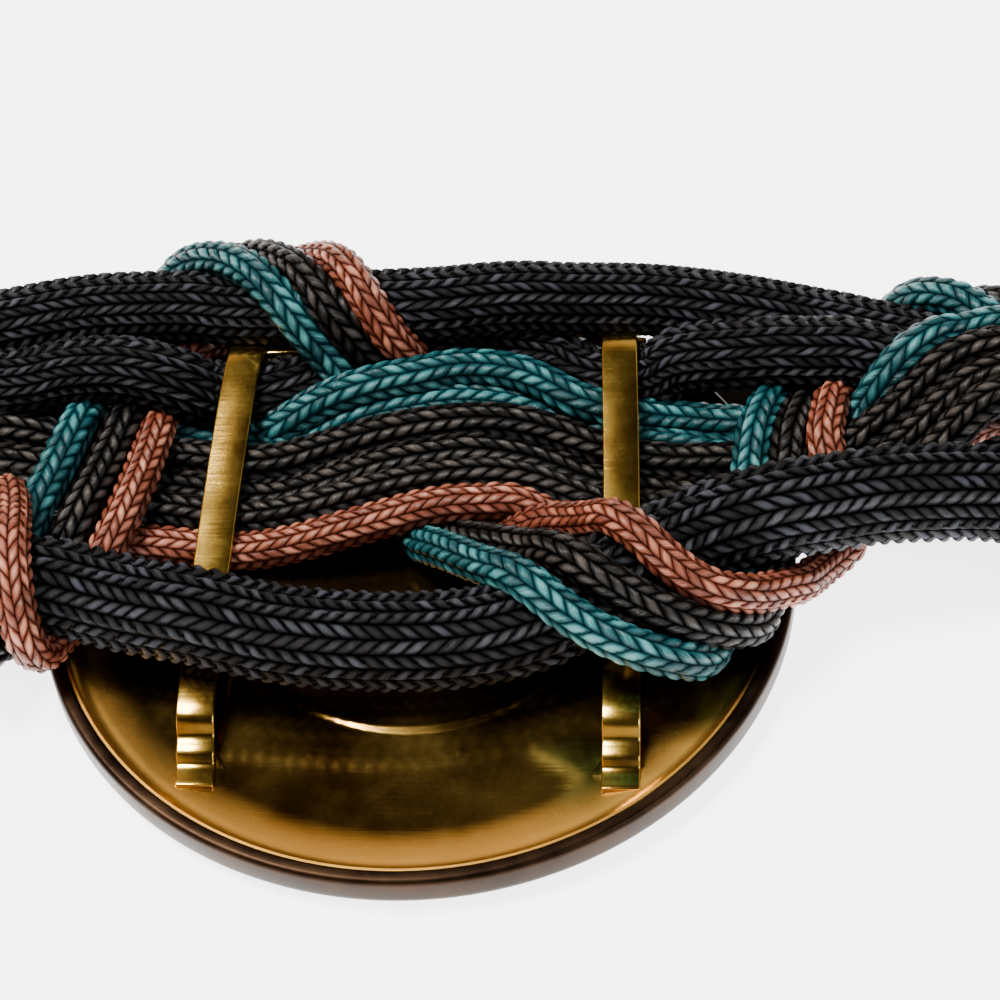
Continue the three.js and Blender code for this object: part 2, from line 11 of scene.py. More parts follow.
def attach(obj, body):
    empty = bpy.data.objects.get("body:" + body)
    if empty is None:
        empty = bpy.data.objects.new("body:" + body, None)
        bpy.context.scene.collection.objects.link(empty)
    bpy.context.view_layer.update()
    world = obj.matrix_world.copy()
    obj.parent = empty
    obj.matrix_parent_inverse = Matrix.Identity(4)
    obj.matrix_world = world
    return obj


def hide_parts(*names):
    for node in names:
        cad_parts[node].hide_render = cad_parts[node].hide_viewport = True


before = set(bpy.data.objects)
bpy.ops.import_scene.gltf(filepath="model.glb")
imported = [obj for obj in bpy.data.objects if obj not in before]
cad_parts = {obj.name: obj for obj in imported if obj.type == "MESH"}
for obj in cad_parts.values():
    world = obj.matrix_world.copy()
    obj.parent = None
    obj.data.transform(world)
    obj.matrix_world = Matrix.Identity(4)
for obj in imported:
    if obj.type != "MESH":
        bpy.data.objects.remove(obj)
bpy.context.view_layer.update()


# Camera
# The photograph looks down at the back of the medallion from the near side, a little from the right.
MM = 0.001
CAMERA_PLACE = Vector((32.8, -180.8, 228.7)) * MM
CAMERA_AIM = Vector((7.47, 11.65, 0)) * MM
CAMERA_ROLL = -5.69
LENS = 103.72
SENSOR = 36

camera_data = bpy.data.cameras.new("camera")
camera_data.lens = LENS
camera_data.sensor_width = SENSOR
camera_data.clip_start = 0.01
camera_data.clip_end = 10
camera = bpy.data.objects.new("camera", camera_data)
bpy.context.scene.collection.objects.link(camera)
looking = (CAMERA_AIM - CAMERA_PLACE).to_track_quat("-Z", "Y").to_matrix().to_4x4()
roll = Matrix.Rotation(math.radians(CAMERA_ROLL), 4, "Z")
camera.matrix_world = Matrix.Translation(CAMERA_PLACE) @ looking @ roll
bpy.context.scene.camera = camera


# Braid: routes
# A flat plait of twelve cords, closed to a loop round the waist. Three thick black cords and a flat core
# of six thin ones run along it, and a ribbon of three thin cords plaits over and under them. The routes'
# rows are in a sketch's millimetres, which on_belt stretches to the real ones.
FRONT_HALF_STRAIGHT = 80
END_RADIUS = 75
BELT_LENGTH = 4 * FRONT_HALF_STRAIGHT + 2 * math.pi * END_RADIUS
BELT_MIDDLE = -0.8
INNER_EDGE = 42.3
TWIST_START = 62
TWIST_END = 182
STRETCH_ALONG = 1.068
STRETCH_ACROSS = 1.182
BRAID_ACROSS = 5.64
RIB_LEAN = -0.034
RIB_LEAN_END = 160
CORE_PITCH = 3.05
CORE_ACROSS = 0.9
# Where the core's heaps beside the keepers begin, are full, begin to fade and end.
RIGHT_HEAP = (22, 32, 72, 82)
LEFT_HEAP = (14, 21, 52, 62)
PLAIT_PITCH = 72
WEFT_SPACING = 4.2
CLASP_LENGTH = 14
LENGTH_IN_CLASP = 2
CORD_END = (BELT_LENGTH / 2 - CLASP_LENGTH / 2 + LENGTH_IN_CLASP) / STRETCH_ALONG
END_STRAIGHT = 8
RIGHT_TURN = 54
LEFT_TURN = -80
PLAITS_PER_SIDE = 5
LEAST_ROW_STEP = 3
CURVE_STEPS = 24
CENTRIPETAL = 0.5

WEFT_PLAIT = [  # back, across, height
    (0, 29.7, 6.4),
    (2.5, 27.6, 1.8),
    (11.5, 12.4, 1.6),
    (13.8, 9.8, 4.7),
    (18.5, -6.6, 4.7),
    (21.5, -9.8, 1.5),
    (26, -18.4, 1.4),
    (29, -20.0, 6.2),
    (33.5, -17.8, 12.0),
    (39.5, -11.2, 12.4),
    (44, -8.3, 6.5),
    (46.5, -7.4, 1.7),
    (54.5, 9.3, 1.7),
    (57.5, 10.7, 6.0),
    (60, 12.6, 11.2),
    (68.8, 26.2, 11.4),
]
CORE_PLAIT = [  # back, height
    (0, 3.2),
    (9, 1.5),
    (18, 1.5),
    (27, 1.6),
    (38.5, 4.8),
    (50, 5.0),
    (62, 4.8),
]
WEFT_ROWS = {  # along, across, height
    "teal": [
        (58, 16.0, 11.0), (53.4, 19.6, 10.4), (51.0, 21.4, 10.2), (48.6, 22.8, 9.0), (47.0, 23.4, 6.4),
        (45.6, 21.8, 3.2), (41.5, 18.0, 3.2), (35.8, 12.6, 5.7), (34.0, 9.8, 7.9),
        (32.0, 2.0, 7.8), (31.2, -4.4, 7.7), (30.0, -11.0, 5.6), (29.2, -15.4, 6.4), (26.4, -18.4, 9.2),
        (22.0, -19.2, 11.8), (17.0, -17.8, 13.4), (11.6, -14.0, 13.8), (6.2, -9.4, 11.2),
        (3.0, -5.6, 7.8), (1.0, -2.4, 4.2), (-4.8, 10.2, 4.1), (-6.8, 13.1, 8.0), (-9.2, 15.0, 11.4),
        (-12.4, 17.2, 14.8), (-18.6, 22.9, 14.6), (-25.0, 26.0, 9.8), (-27.0, 24.6, 6.0),
        (-29.2, 18.6, 4.8), (-31.0, 11.6, 4.4), (-31.6, 9.0, 7.9), (-33.6, 3.4, 8.6),
        (-36.0, -4.0, 8.9), (-37.8, -9.0, 5.8), (-42.0, -15.2, 5.7), (-45.0, -18.2, 10.9),
        (-47.0, -13.2, 14.3), (-49.2, -8.4, 13.0), (-51.4, -7.0, 6.0), (-53.6, -5.2, 3.2),
        (-62.4, 9.2, 1.8), (-65.2, 10.4, 5.8), (-68.2, 12.6, 11.4), (-80.8, 26.2, 11.4),
    ],
    "black": [
        (64.5, 15.5, 10.4), (59.0, 18.0, 9.8), (55.6, 20.6, 8.6), (52.6, 21.6, 5.8),
        (50, 20.4, 2.4), (45.5, 17.6, 2.6), (39.2, 12.6, 5.0), (37.0, 10.0, 8.6),
        (35.4, 2.6, 8.4), (34.8, -4.2, 8.0), (34.0, -9.4, 5.2), (32.0, -12.6, 5.4), (30.0, -15.0, 8.0),
        (27.0, -16.4, 11.2), (22.6, -15.8, 13.6), (17.6, -13.0, 13.8), (11.6, -8.4, 11.6),
        (7.0, -5.2, 8.2), (4.0, -2.6, 5.0), (-1.2, 10.8, 4.1), (-3.2, 14.2, 7.8), (-5.6, 15.6, 11.8),
        (-8.6, 17.8, 15.2), (-14.6, 23.0, 14.8), (-19.8, 26.2, 10.0), (-22.6, 24.8, 5.6),
        (-26.2, 18.6, 5.5), (-28.2, 11.4, 5.4), (-28.4, 8.8, 7.2), (-29.8, 2.6, 7.9),
        (-32.0, -4.2, 8.1), (-34.6, -9.4, 5.7), (-38.2, -16.0, 5.7), (-40.4, -18.4, 11.2),
        (-42.2, -13.2, 14.9), (-44.6, -8.4, 13.8), (-46.8, -7.0, 6.2), (-49.2, -5.2, 3.9),
        (-58.2, 9.2, 2.2), (-61.0, 10.3, 6.0), (-64.0, 12.6, 11.2), (-76.8, 26.2, 11.4),
    ],
    "rust": [
        (68.5, 15.0, 10.4), (63.5, 17.6, 9.8), (60.2, 20.2, 8.6), (57.4, 21.4, 5.6),
        (54.8, 20.2, 2.2), (49.5, 17.6, 2.4), (42.9, 12.9, 4.5), (39.8, 10.5, 9.7),
        (38.8, 3.4, 9.1), (41.4, 1.2, 6.4), (42.6, -1.6, 3.0), (39.8, -3.4, 2.8), (37.0, -6.6, 4.6),
        (34.2, -10.2, 7.8), (30.8, -13.6, 11.4), (27.2, -14.0, 13.6), (23.6, -11.6, 14.4),
        (18.2, -7.2, 12.8), (13.0, -3.2, 9.2), (8.8, -1.2, 5.4),
        (2.4, 11.2, 4.1), (0.4, 14.4, 7.8), (-2.0, 16.2, 12.0),
        (-4.6, 18.0, 15.0), (-9.4, 22.4, 14.8), (-13.6, 25.4, 10.4), (-17.6, 24.0, 4.4),
        (-22.8, 19.0, 2.2), (-24.8, 11.2, 4.3), (-25.1, 8.6, 6.9), (-26.2, 1.6, 7.3),
        (-28.0, -4.6, 7.3), (-31.0, -9.8, 5.2), (-33.0, -16.2, 5.6), (-34.0, -18.6, 10.8),
        (-34.8, -13.2, 14.6), (-36.0, -7.4, 13.8), (-37.4, -1.6, 12.4),
        (-41.0, -3.0, 6.2), (-43.8, -4.2, 4.2),
        (-53.6, 9.3, 2.8), (-56.6, 10.2, 6.4), (-60.0, 12.6, 11.4), (-72.6, 26.2, 11.4),
    ],
}
CORE_ROWS = [  # along, across, height, roll
    (77, 0.9, 5.0, 0),
    (71, 2.6, 9.6, 0),
    (66, 5.6, 13.4, -6),
    (60.5, 9.2, 15.0, -14),
    (55, 10.0, 15.0, -16),
    (50.5, 8.6, 13.2, -14),
    (46, 5.0, 9.6, -4),
    (41.5, 2.6, 6.6, 0),
    (36.5, 2.5, 5.7, 0),
    (31, 3.0, 5.25, 0),
    (26, 3.8, 4.4, 0),
    (20, 5.0, 4.3, 0),
    (15, 6.3, 5.2, 2),
    (10, 6.9, 7.2, 4),
    (4, 6.7, 7.6, 5),
    (-3, 5.5, 7.4, 4),
    (-8, 4.6, 6.4, 2),
    (-13, 3.6, 4.9, 0),
    (-18, 3.2, 4.3, 0),
    (-26, 3.9, 4.4, 0),
    (-31.5, 3.8, 5.4, 0),
    (-36, 3.8, 5.7, 0),
    (-41.5, 3.9, 7.4, 0),
    (-48, 3.4, 7.0, 0),
    (-56, 2.4, 6.1, 0),
    (-64, 1.4, 5.0, 0),
    (-71, 0.9, 4.0, 0),
]
THICK_ROWS = {  # along, across, height
    "inner": [
        (72, 22.0, 6.2), (63, 18.8, 6.2), (54, 17.6, 6.4), (46, 18.6, 6.8), (39, 20.5, 7.2),
        (30, 21.7, 8.4), (20, 22.0, 9.4), (10, 20.1, 10.8), (0, 18.2, 11.6), (-9, 18.7, 11.6),
        (-16, 19.6, 10.8), (-23, 20.4, 9.8), (-32, 20.8, 9.8), (-41, 19.4, 9.2), (-49, 18.8, 7.8),
        (-58, 21.0, 6.6),
    ],
    "second": [
        (72, 15.0, 6.2), (63, 12.6, 6.6), (54, 11.8, 8.2), (46, 13.4, 10.2), (40, 14.0, 10.6),
        (33, 13.9, 10.6), (27, 15.5, 9.0), (21, 16.8, 6.6), (11, 17.6, 5.6), (4, 18.0, 5.6),
        (-2, 17.8, 5.6), (-9, 15.9, 5.6), (-15.2, 13.2, 5.6), (-20.2, 12.0, 5.9), (-24.0, 11.8, 8.6),
        (-31, 12.2, 9.6), (-40, 11.9, 9.4), (-49, 12.8, 7.8), (-58, 15.0, 6.6),
    ],
    "outer": [
        (88, -14.2, 6.2), (79, -12.8, 6.3), (71, -8.6, 7.0), (64, -3.6, 8.6), (58, -1.6, 10.0),
        (52, -1.9, 11.4), (46, -2.8, 12.3), (39, -4.2, 12.7), (32, -5.6, 12.3), (26, -7.0, 11.2),
        (20.5, -10.0, 10.2), (15, -13.2, 9.4), (8, -15.8, 9.0), (0, -16.6, 9.2), (-9, -16.4, 9.6),
        (-18, -15.0, 9.9), (-26, -13.2, 10.1), (-34, -11.4, 10.2), (-42, -10.8, 10.1),
        (-50, -12.0, 8.8), (-60, -14.0, 6.8),
    ],
}
THICK_PLAIT = {  # across, height, rows in a plait
    "inner": (23.6, 6.2, 5),
    "second": (15.9, 6.2, 5),
    "outer": (-14.2, 6.2, 7),
}


def smoothstep(value, low, high):
    """0 below low, 1 above high, and a smooth rise between them."""
    t = min(max((value - low) / (high - low), 0), 1)
    return t * t * (3 - 2 * t)


def belt_directions(along):
    """The belt's inner edge at a place along it, and the ways across it and out of its back."""
    distance = abs(along)
    side = math.copysign(1, along)
    bend_length = math.pi * END_RADIUS
    turned = min(max((distance - FRONT_HALF_STRAIGHT) / bend_length, 0), 1) * math.pi
    straight = min(distance, FRONT_HALF_STRAIGHT)
    rear_straight = max(0, distance - FRONT_HALF_STRAIGHT - bend_length)
    edge = Vector((
        BELT_MIDDLE + side * (straight + END_RADIUS * math.sin(turned) - rear_straight),
        INNER_EDGE + END_RADIUS * (1 - math.cos(turned)),
        0,
    ))
    inward = Vector((-side * math.sin(turned), math.cos(turned), 0))
    twist = smoothstep(distance, TWIST_START, TWIST_END) * math.pi / 2
    up = Vector((0, 0, 1))
    across = inward * math.cos(twist) - up * math.sin(twist)
    out_of_back = inward * math.sin(twist) + up * math.cos(twist)
    return edge, across, out_of_back


def on_belt(along, across, height):
    """A row's place in the world, with the braid stretched to its real length and width."""
    lean = RIB_LEAN * (1 - smoothstep(abs(along), FRONT_HALF_STRAIGHT, RIB_LEAN_END))
    edge, across_way, out_of_back = belt_directions(along * STRETCH_ALONG + across * lean)
    real_across = across * STRETCH_ACROSS + BRAID_ACROSS
    return edge + across_way * (real_across - INNER_EDGE) + out_of_back * height


def whole_cord(plait_rows, seen_rows):
    """Rows from the clasp's right side round the front to its left side."""
    first, last = seen_rows[0][0], seen_rows[-1][0]
    right = [RIGHT_TURN + plait * PLAIT_PITCH for plait in range(PLAITS_PER_SIDE, 0, -1)]
    left = [LEFT_TURN - plait * PLAIT_PITCH for plait in range(PLAITS_PER_SIDE)]
    before = [(start - row[0], *row[1:]) for start in right for row in plait_rows]
    after = [(start - row[0], *row[1:]) for start in left for row in plait_rows]
    rows = [row for row in before if first + LEAST_ROW_STEP < row[0] < CORD_END - END_STRAIGHT]
    rows += list(seen_rows)
    rows += [row for row in after if END_STRAIGHT - CORD_END < row[0] < last - LEAST_ROW_STEP]
    return [(CORD_END, *rows[0][1:]), *rows, (-CORD_END, *rows[-1][1:])]


def thick_route(name):
    """A thick cord, which runs straight along the plait away from the medallion."""
    across, height, steps = THICK_PLAIT[name]
    plait = [(step * PLAIT_PITCH / steps, across, height) for step in range(steps)]
    return whole_cord(plait, THICK_ROWS[name])


def weft_route(name, shift):
    """A cord of the ribbon, shifted along the plait from the ribbon's middle."""
    plait = [(back - shift, across, height) for back, across, height in WEFT_PLAIT]
    return whole_cord(plait, WEFT_ROWS[name])


def core_route(*places):
    """One cord of the core. A place holds pitches from the middle and a lift.

    The places are those between the keepers, in the heap right of them and in the heap left of them.
    """
    plait = [(back, CORE_ACROSS, height, 0) for back, height in CORE_PLAIT]
    rows = whole_cord(plait, CORE_ROWS)
    route = []
    for index, (along, across, height, roll_angle) in enumerate(rows):
        before = rows[max(index - 1, 0)]
        after = rows[min(index + 1, len(rows) - 1)]
        heading = math.atan2(after[1] - before[1], before[0] - after[0])
        from_start, to_start, from_end, to_end = RIGHT_HEAP if along > 0 else LEFT_HEAP
        heaped = smoothstep(abs(along), from_start, to_start)
        heaped *= 1 - smoothstep(abs(along), from_end, to_end)
        flat, heap = np.array(places[0]), np.array(places[1 if along > 0 else 2])
        from_middle, lift = flat + heaped * (heap - flat)
        offset = from_middle * CORE_PITCH
        tilt = math.radians(roll_angle)
        route.append((
            along + offset * math.cos(tilt) * math.sin(heading),
            across + offset * math.cos(tilt) * math.cos(heading),
            height + offset * math.sin(tilt) + lift,
        ))
    return route


def evenly_spaced(points, step):
    """Points at equal steps along a smooth curve, a centripetal one, through the given points."""
    knots = np.array(points, dtype=float)
    padded = np.vstack([2 * knots[0] - knots[1], knots, 2 * knots[-1] - knots[-2]])
    pieces = []
    for p0, p1, p2, p3 in zip(padded[:-3], padded[1:-2], padded[2:-1], padded[3:]):
        t0, t1 = 0.0, np.linalg.norm(p1 - p0) ** CENTRIPETAL
        t2 = t1 + np.linalg.norm(p2 - p1) ** CENTRIPETAL
        t3 = t2 + np.linalg.norm(p3 - p2) ** CENTRIPETAL
        t = np.linspace(t1, t2, CURVE_STEPS, endpoint=False)[:, None]
        a1 = (t1 - t) / (t1 - t0) * p0 + (t - t0) / (t1 - t0) * p1
        a2 = (t2 - t) / (t2 - t1) * p1 + (t - t1) / (t2 - t1) * p2
        a3 = (t3 - t) / (t3 - t2) * p2 + (t - t2) / (t3 - t2) * p3
        b1 = (t2 - t) / (t2 - t0) * a1 + (t - t0) / (t2 - t0) * a2
        b2 = (t3 - t) / (t3 - t1) * a2 + (t - t1) / (t3 - t1) * a3
        pieces.append((t2 - t) / (t2 - t1) * b1 + (t - t1) / (t2 - t1) * b2)
    fine = np.vstack([*pieces, knots[-1:]])
    run = np.concatenate([[0], np.cumsum(np.linalg.norm(np.diff(fine, axis=0), axis=1))])
    count = max(int(round(run[-1] / step)), 2)
    at = np.linspace(0, run[-1], count + 1)
    return np.column_stack([np.interp(at, run, fine[:, axis]) for axis in range(3)])


# Braid: the cords press against each other
# The cords are pulled tight in the plait, so they lie against each other, on the medallion's back plate
# and under or over its keepers. Points that come closer than the cords' radii are pushed apart.
THIN_RADIUS = 1.92
THICK_SIZES = {  # half width, half height
    "thick_cord_inner_braid": (4.0, 3.4),
    "thick_cord_second_braid": (4.0, 3.3),
    "thick_cord_outer_braid": (4.7, 4.0),
}
PRESS_STEP = 1.5
PRESS_ROUNDS = 60
PAIRS_EVERY = 10
PAIR_REACH = 0.6
APART_ON_A_CORD = 3.2
CONTACT = 0.94
PUSH = 0.9
PUSH_GAIN = 1.3
SMOOTHING = 0.22
PULL_HOME = 0.03
FLOOR_CONTACT = 0.96
PLATE_TOP = 2.3
RIM_HEIGHT = 4.0
MEDALLION_RADIUS = 38
PLATE_RADIUS = 36

cord_routes = {
    "thick_cord_inner_braid": thick_route("inner"),
    "thick_cord_second_braid": thick_route("second"),
    "thick_cord_outer_braid": thick_route("outer"),
    "core_cord_teal_upper": core_route((2.5, 0.5), (1.65, -0.5), (3.2, -2.8)),
    "core_cord_teal_lower": core_route((1.5, -1.3), (1.1, -4.4), (2.3, -3.4)),
    "core_cord_black_upper": core_route((0.5, 0.6), (0.7, 0.8), (1.5, 0.6)),
    "core_cord_black_middle": core_route((-0.5, -0.5), (-0.3, 0.2), (0.3, -0.2)),
    "core_cord_black_lower": core_route((-1.5, 0.5), (-1.4, 0.5), (-0.9, 0.4)),
    "core_cord_rust": core_route((-2.5, 0.3), (-0.9, -4.4), (-2.2, 0.3)),
    "ribbon_cord_teal": weft_route("teal", -WEFT_SPACING),
    "ribbon_cord_black": weft_route("black", 0),
    "ribbon_cord_rust": weft_route("rust", WEFT_SPACING),
}
KEEPER_WIDTH = 3.7
KEEPER_THICKNESS = 0.8
SUNK_IN_SOLDER = 0.05
KEEPER_FOOT_POINTS = 4
OBSTACLE_RADIUS = 0.9
OBSTACLE_SIDES = (-1.4, 0, 1.4)
OBSTACLE_PARTS = 8
KEEPERS = {  # along, shoulder, slant, bow, prong length
    "left": (-20.3, 25.2, 0.012, 0.0014, 5.2),
    "right": (20.7, 26.6, -0.027, -0.0003, 1.6),
}


def keeper_line(shoulder):
    """Middle of the strap's thickness from its front foot to the end of its leg, as across and height."""
    foot = PLATE_TOP + KEEPER_THICKNESS / 2 - SUNK_IN_SOLDER
    return [
        (-26.6, foot), (-23.8, foot), (-23.3, 3.3), (-21.4, 3.7), (-20.0, 5.0),
        (-13.3, 5.6), (-3.8, 6.1), (5.6, 7.2),
        (shoulder - 1.4, 9.6), (shoulder, 8.4), (shoulder, 1.9),
    ]


def keeper_obstacles():
    """Points all over the keepers, from their feet up, that push the cords off."""
    points = []
    for along, shoulder, slant, bow, _ in KEEPERS.values():
        line = keeper_line(shoulder)[KEEPER_FOOT_POINTS:]
        for (y0, z0), (y1, z1) in zip(line[:-1], line[1:]):
            for part in np.linspace(0, 1, OBSTACLE_PARTS, endpoint=False):
                y, z = y0 + (y1 - y0) * part, z0 + (z1 - z0) * part
                middle = along + slant * y + bow * y * y
                points += [(middle + side, y, z) for side in OBSTACLE_SIDES]
    return np.array(points)


def press_cords(routes):
    """The middle line of each cord, after cords that lie too close are pushed apart."""
    names = list(routes)
    lines = [evenly_spaced([on_belt(*row) for row in routes[name]], PRESS_STEP) for name in names]
    radii = [sum(THICK_SIZES.get(name, (THIN_RADIUS, THIN_RADIUS))) / 2 for name in names]
    starts = np.cumsum([0] + [len(line) for line in lines])
    place = np.vstack(lines)
    radius = np.concatenate([np.full(len(line), r) for line, r in zip(lines, radii)])
    cord = np.concatenate([np.full(len(line), index) for index, line in enumerate(lines)])
    count = len(place)
    keeper = keeper_obstacles()
    place = np.vstack([place, keeper])
    radius = np.concatenate([radius, np.full(len(keeper), OBSTACLE_RADIUS)])
    cord = np.concatenate([cord, np.full(len(keeper), -1)])
    yields = np.where(cord < 0, 0.0, 1.0 / radius ** 2)
    home = place.copy()
    for turn in range(PRESS_ROUNDS):
        if turn % PAIRS_EVERY == 0:
            tree = KDTree(len(place))
            for index, point in enumerate(place):
                tree.insert(point, index)
            tree.balance()
            first, second = [], []
            for index in range(count):
                reach = radius[index] + radius.max() + PAIR_REACH
                for _, other, _ in tree.find_range(place[index], reach):
                    apart = abs(other - index) * PRESS_STEP > APART_ON_A_CORD * radius[index]
                    if other > index and (cord[other] != cord[index] or apart):
                        first.append(index)
                        second.append(other)
            first, second = np.array(first), np.array(second)
        gap = place[second] - place[first]
        distance = np.linalg.norm(gap, axis=1)
        wanted = CONTACT * (radius[first] + radius[second])
        overlap = np.maximum(wanted - distance, 0)
        direction = gap / np.maximum(distance, 1e-6)[:, None]
        total = yields[first] + yields[second]
        push = np.zeros_like(place)
        share = np.zeros(len(place))
        np.add.at(push, first, -direction * (PUSH * overlap * yields[first] / total)[:, None])
        np.add.at(push, second, direction * (PUSH * overlap * yields[second] / total)[:, None])
        np.add.at(share, first, overlap > 0)
        np.add.at(share, second, overlap > 0)
        place += push / np.maximum(share, 1)[:, None] * PUSH_GAIN
        for start, end in zip(starts[:-1], starts[1:]):
            line = place[start:end]
            middle = (line[:-2] + line[2:]) / 2
            line[1:-1] += SMOOTHING * (middle - line[1:-1])
            line += PULL_HOME * (home[start:end] - line)
        reach = np.hypot(place[:count, 0], place[:count, 1])
        ground = np.where(reach < MEDALLION_RADIUS, RIM_HEIGHT, 0)
        ground = np.where(reach < PLATE_RADIUS, PLATE_TOP, ground)
        lowest = ground + radius[:count] * FLOOR_CONTACT
        place[:count, 2] = np.maximum(place[:count, 2], lowest)
    return {name: place[start:end] for name, start, end in zip(names, starts[:-1], starts[1:])}


pressed = press_cords(cord_routes)


# Braid: cord surface
# Each cord is a tubular braid. Its picks lie in columns that lean left and right in turn, so that they
# meet in a row of Vs. They are raised in the mesh round the medallion, and bumped all along by a material
# that follows the same columns through the UV map and paints shade into the gaps and a highlight on the
# crowns.
FINE_REACH = 74
FADE_REACH = 92
FINE_MIDDLE_Y = 5
RIDGE_POWER = 3
CROWN_POWER = 2.6
MEAN_PICK_HEIGHT = 0.62
CORD_KINDS = {
    # columns, pick length, lean, relief, sides per column, ring step near and far
    "thick": (18, 1.55, 1.1, 0.5, 2, 0.27, 1.3),
    "thin": (8, 1.8, 0.8, 0.34, 3, 0.3, 1.3),
    "rust": (10, 1.55, 0.8, 0.3, 2, 0.26, 1.3),
}


def pick_height(u, v, lean):
    """Height of a pick, 0 in the gaps and 1 on its crown, at column u and pick v."""
    column = np.floor(u)
    part = u - column
    odd = np.mod(column, 2)
    q = v + (odd * 2 - 1) * (part - 0.5) * lean + odd * 0.5
    step = q - np.floor(q)
    ridge = 1 - np.abs(2 * part - 1) ** RIDGE_POWER
    crown = 1 - np.abs(2 * step - 1) ** CROWN_POWER
    return ridge * crown


def carried_frames(line):
    """Directions across a cord that turn with it as little as they can."""
    tangent = np.gradient(line, axis=0)
    tangent /= np.linalg.norm(tangent, axis=1)[:, None]
    side = np.cross(tangent[0], (0, 0, 1.0))
    side /= np.linalg.norm(side)
    sides = [side]
    for direction in tangent[1:]:
        side = side - direction * np.dot(side, direction)
        side = side / np.linalg.norm(side)
        sides.append(side)
    sides = np.array(sides)
    return sides, np.cross(sides, tangent)


def ring_places(line, near_step, far_step):
    """Where the rings go, closer together near the medallion, and how near each one is from 0 to 1."""
    run = np.concatenate([[0], np.cumsum(np.linalg.norm(np.diff(line, axis=0), axis=1))])
    distance = np.hypot(line[:, 0], line[:, 1] - FINE_MIDDLE_Y)
    near = np.clip((FADE_REACH - distance) / (FADE_REACH - FINE_REACH), 0, 1)
    density = 1 / far_step + near * (1 / near_step - 1 / far_step)
    count = np.concatenate([[0], np.cumsum((density[1:] + density[:-1]) / 2 * np.diff(run))])
    rings = np.linspace(0, count[-1], int(count[-1]) + 1)
    at = np.interp(rings, count, run)
    centre = np.column_stack([np.interp(at, run, line[:, axis]) for axis in range(3)])
    return at, centre, np.interp(at, run, near)


def braided_cord(name, kind, line, half_width, half_height):
    """A cord's mesh along its line, closed at both ends, with the UV map that its braid is drawn on."""
    columns, pick_length, lean, relief, column_sides, near_step, far_step = CORD_KINDS[kind]
    sides = columns * column_sides
    smooth_line = evenly_spaced(line[::2], PRESS_STEP / 4)
    at, centre, near = ring_places(smooth_line, near_step, far_step)
    side, top = carried_frames(centre)
    angle = np.arange(sides) / sides * 2 * math.pi
    u = np.arange(sides) / sides * columns
    height = pick_height(u[None, :], (at / pick_length)[:, None], lean)
    swell = 1 + ((height - MEAN_PICK_HEIGHT) * near[:, None])[:, :, None] * relief / half_height
    spoke = np.cos(angle)[None, :, None] * side[:, None, :] * half_width
    spoke = spoke + np.sin(angle)[None, :, None] * top[:, None, :] * half_height
    points = (centre[:, None, :] + spoke * swell).reshape(-1, 3) * MM
    ring = np.arange(len(at) - 1)[:, None] * sides
    here = np.arange(sides)[None, :]
    there = (here + 1) % sides
    quads = np.stack([ring + sides + here, ring + sides + there, ring + there, ring + here], axis=-1)
    first_cap = list(range(sides))
    last_cap = list(range(len(points) - sides, len(points)))[::-1]
    mesh = bpy.data.meshes.new(name)
    mesh.from_pydata(points.tolist(), [], [*quads.reshape(-1, 4).tolist(), first_cap, last_cap])
    layer = mesh.uv_layers.new(name="braid")
    v = at / pick_length
    along = np.stack([v[1:], v[1:], v[:-1], v[:-1]], axis=-1)[:, None, :].repeat(sides, axis=1)
    u_there = np.append(u[1:], columns)
    round_it = np.stack([u, u_there, u_there, u], axis=-1)[None, :, :].repeat(len(at) - 1, axis=0)
    uv = np.vstack([np.stack([round_it, along], axis=-1).reshape(-1, 2), np.zeros((2 * sides, 2))])
    layer.data.foreach_set("uv", uv.astype(np.float32).ravel())
    mesh.polygons.foreach_set("use_smooth", [True] * len(mesh.polygons))
    mesh.update()
    cord = bpy.data.objects.new(name, mesh)
    bpy.context.scene.collection.objects.link(cord)
    return cord


def new_material(name):
    """A new material with its nodes and links."""
    material = bpy.data.materials.new(name)
    material.use_nodes = True
    return material, material.node_tree.nodes, material.node_tree.links


def math_node(nodes, links, operation, first, second=None, third=None):
    """The result of a math node on numbers or other nodes' results."""
    node = nodes.new("ShaderNodeMath")
    node.operation = operation
    for socket, value in zip(node.inputs, (first, second, third)):
        if value is None:
            continue
        if isinstance(value, (int, float)):
            socket.default_value = value
        else:
            links.new(value, socket)
    return node.outputs[0]


YARN_WIDTH = 0.9
YARN_TURNS = 9.0
FIBRE_DETAIL = 3
FIBRE_TONE = 0.6
TONE_START = -0.1
PICK_TONE = 0.36
WEAR_TONE = 0.3
WEAR_SCALE = 160
GAP_SHADE_POWER = 0.8
DARK_AT = 0.05
MID_AT = 0.42
LIGHT_AT = 0.75
SHINE_POWER = 1.5
CORD_BUMP = 0.7


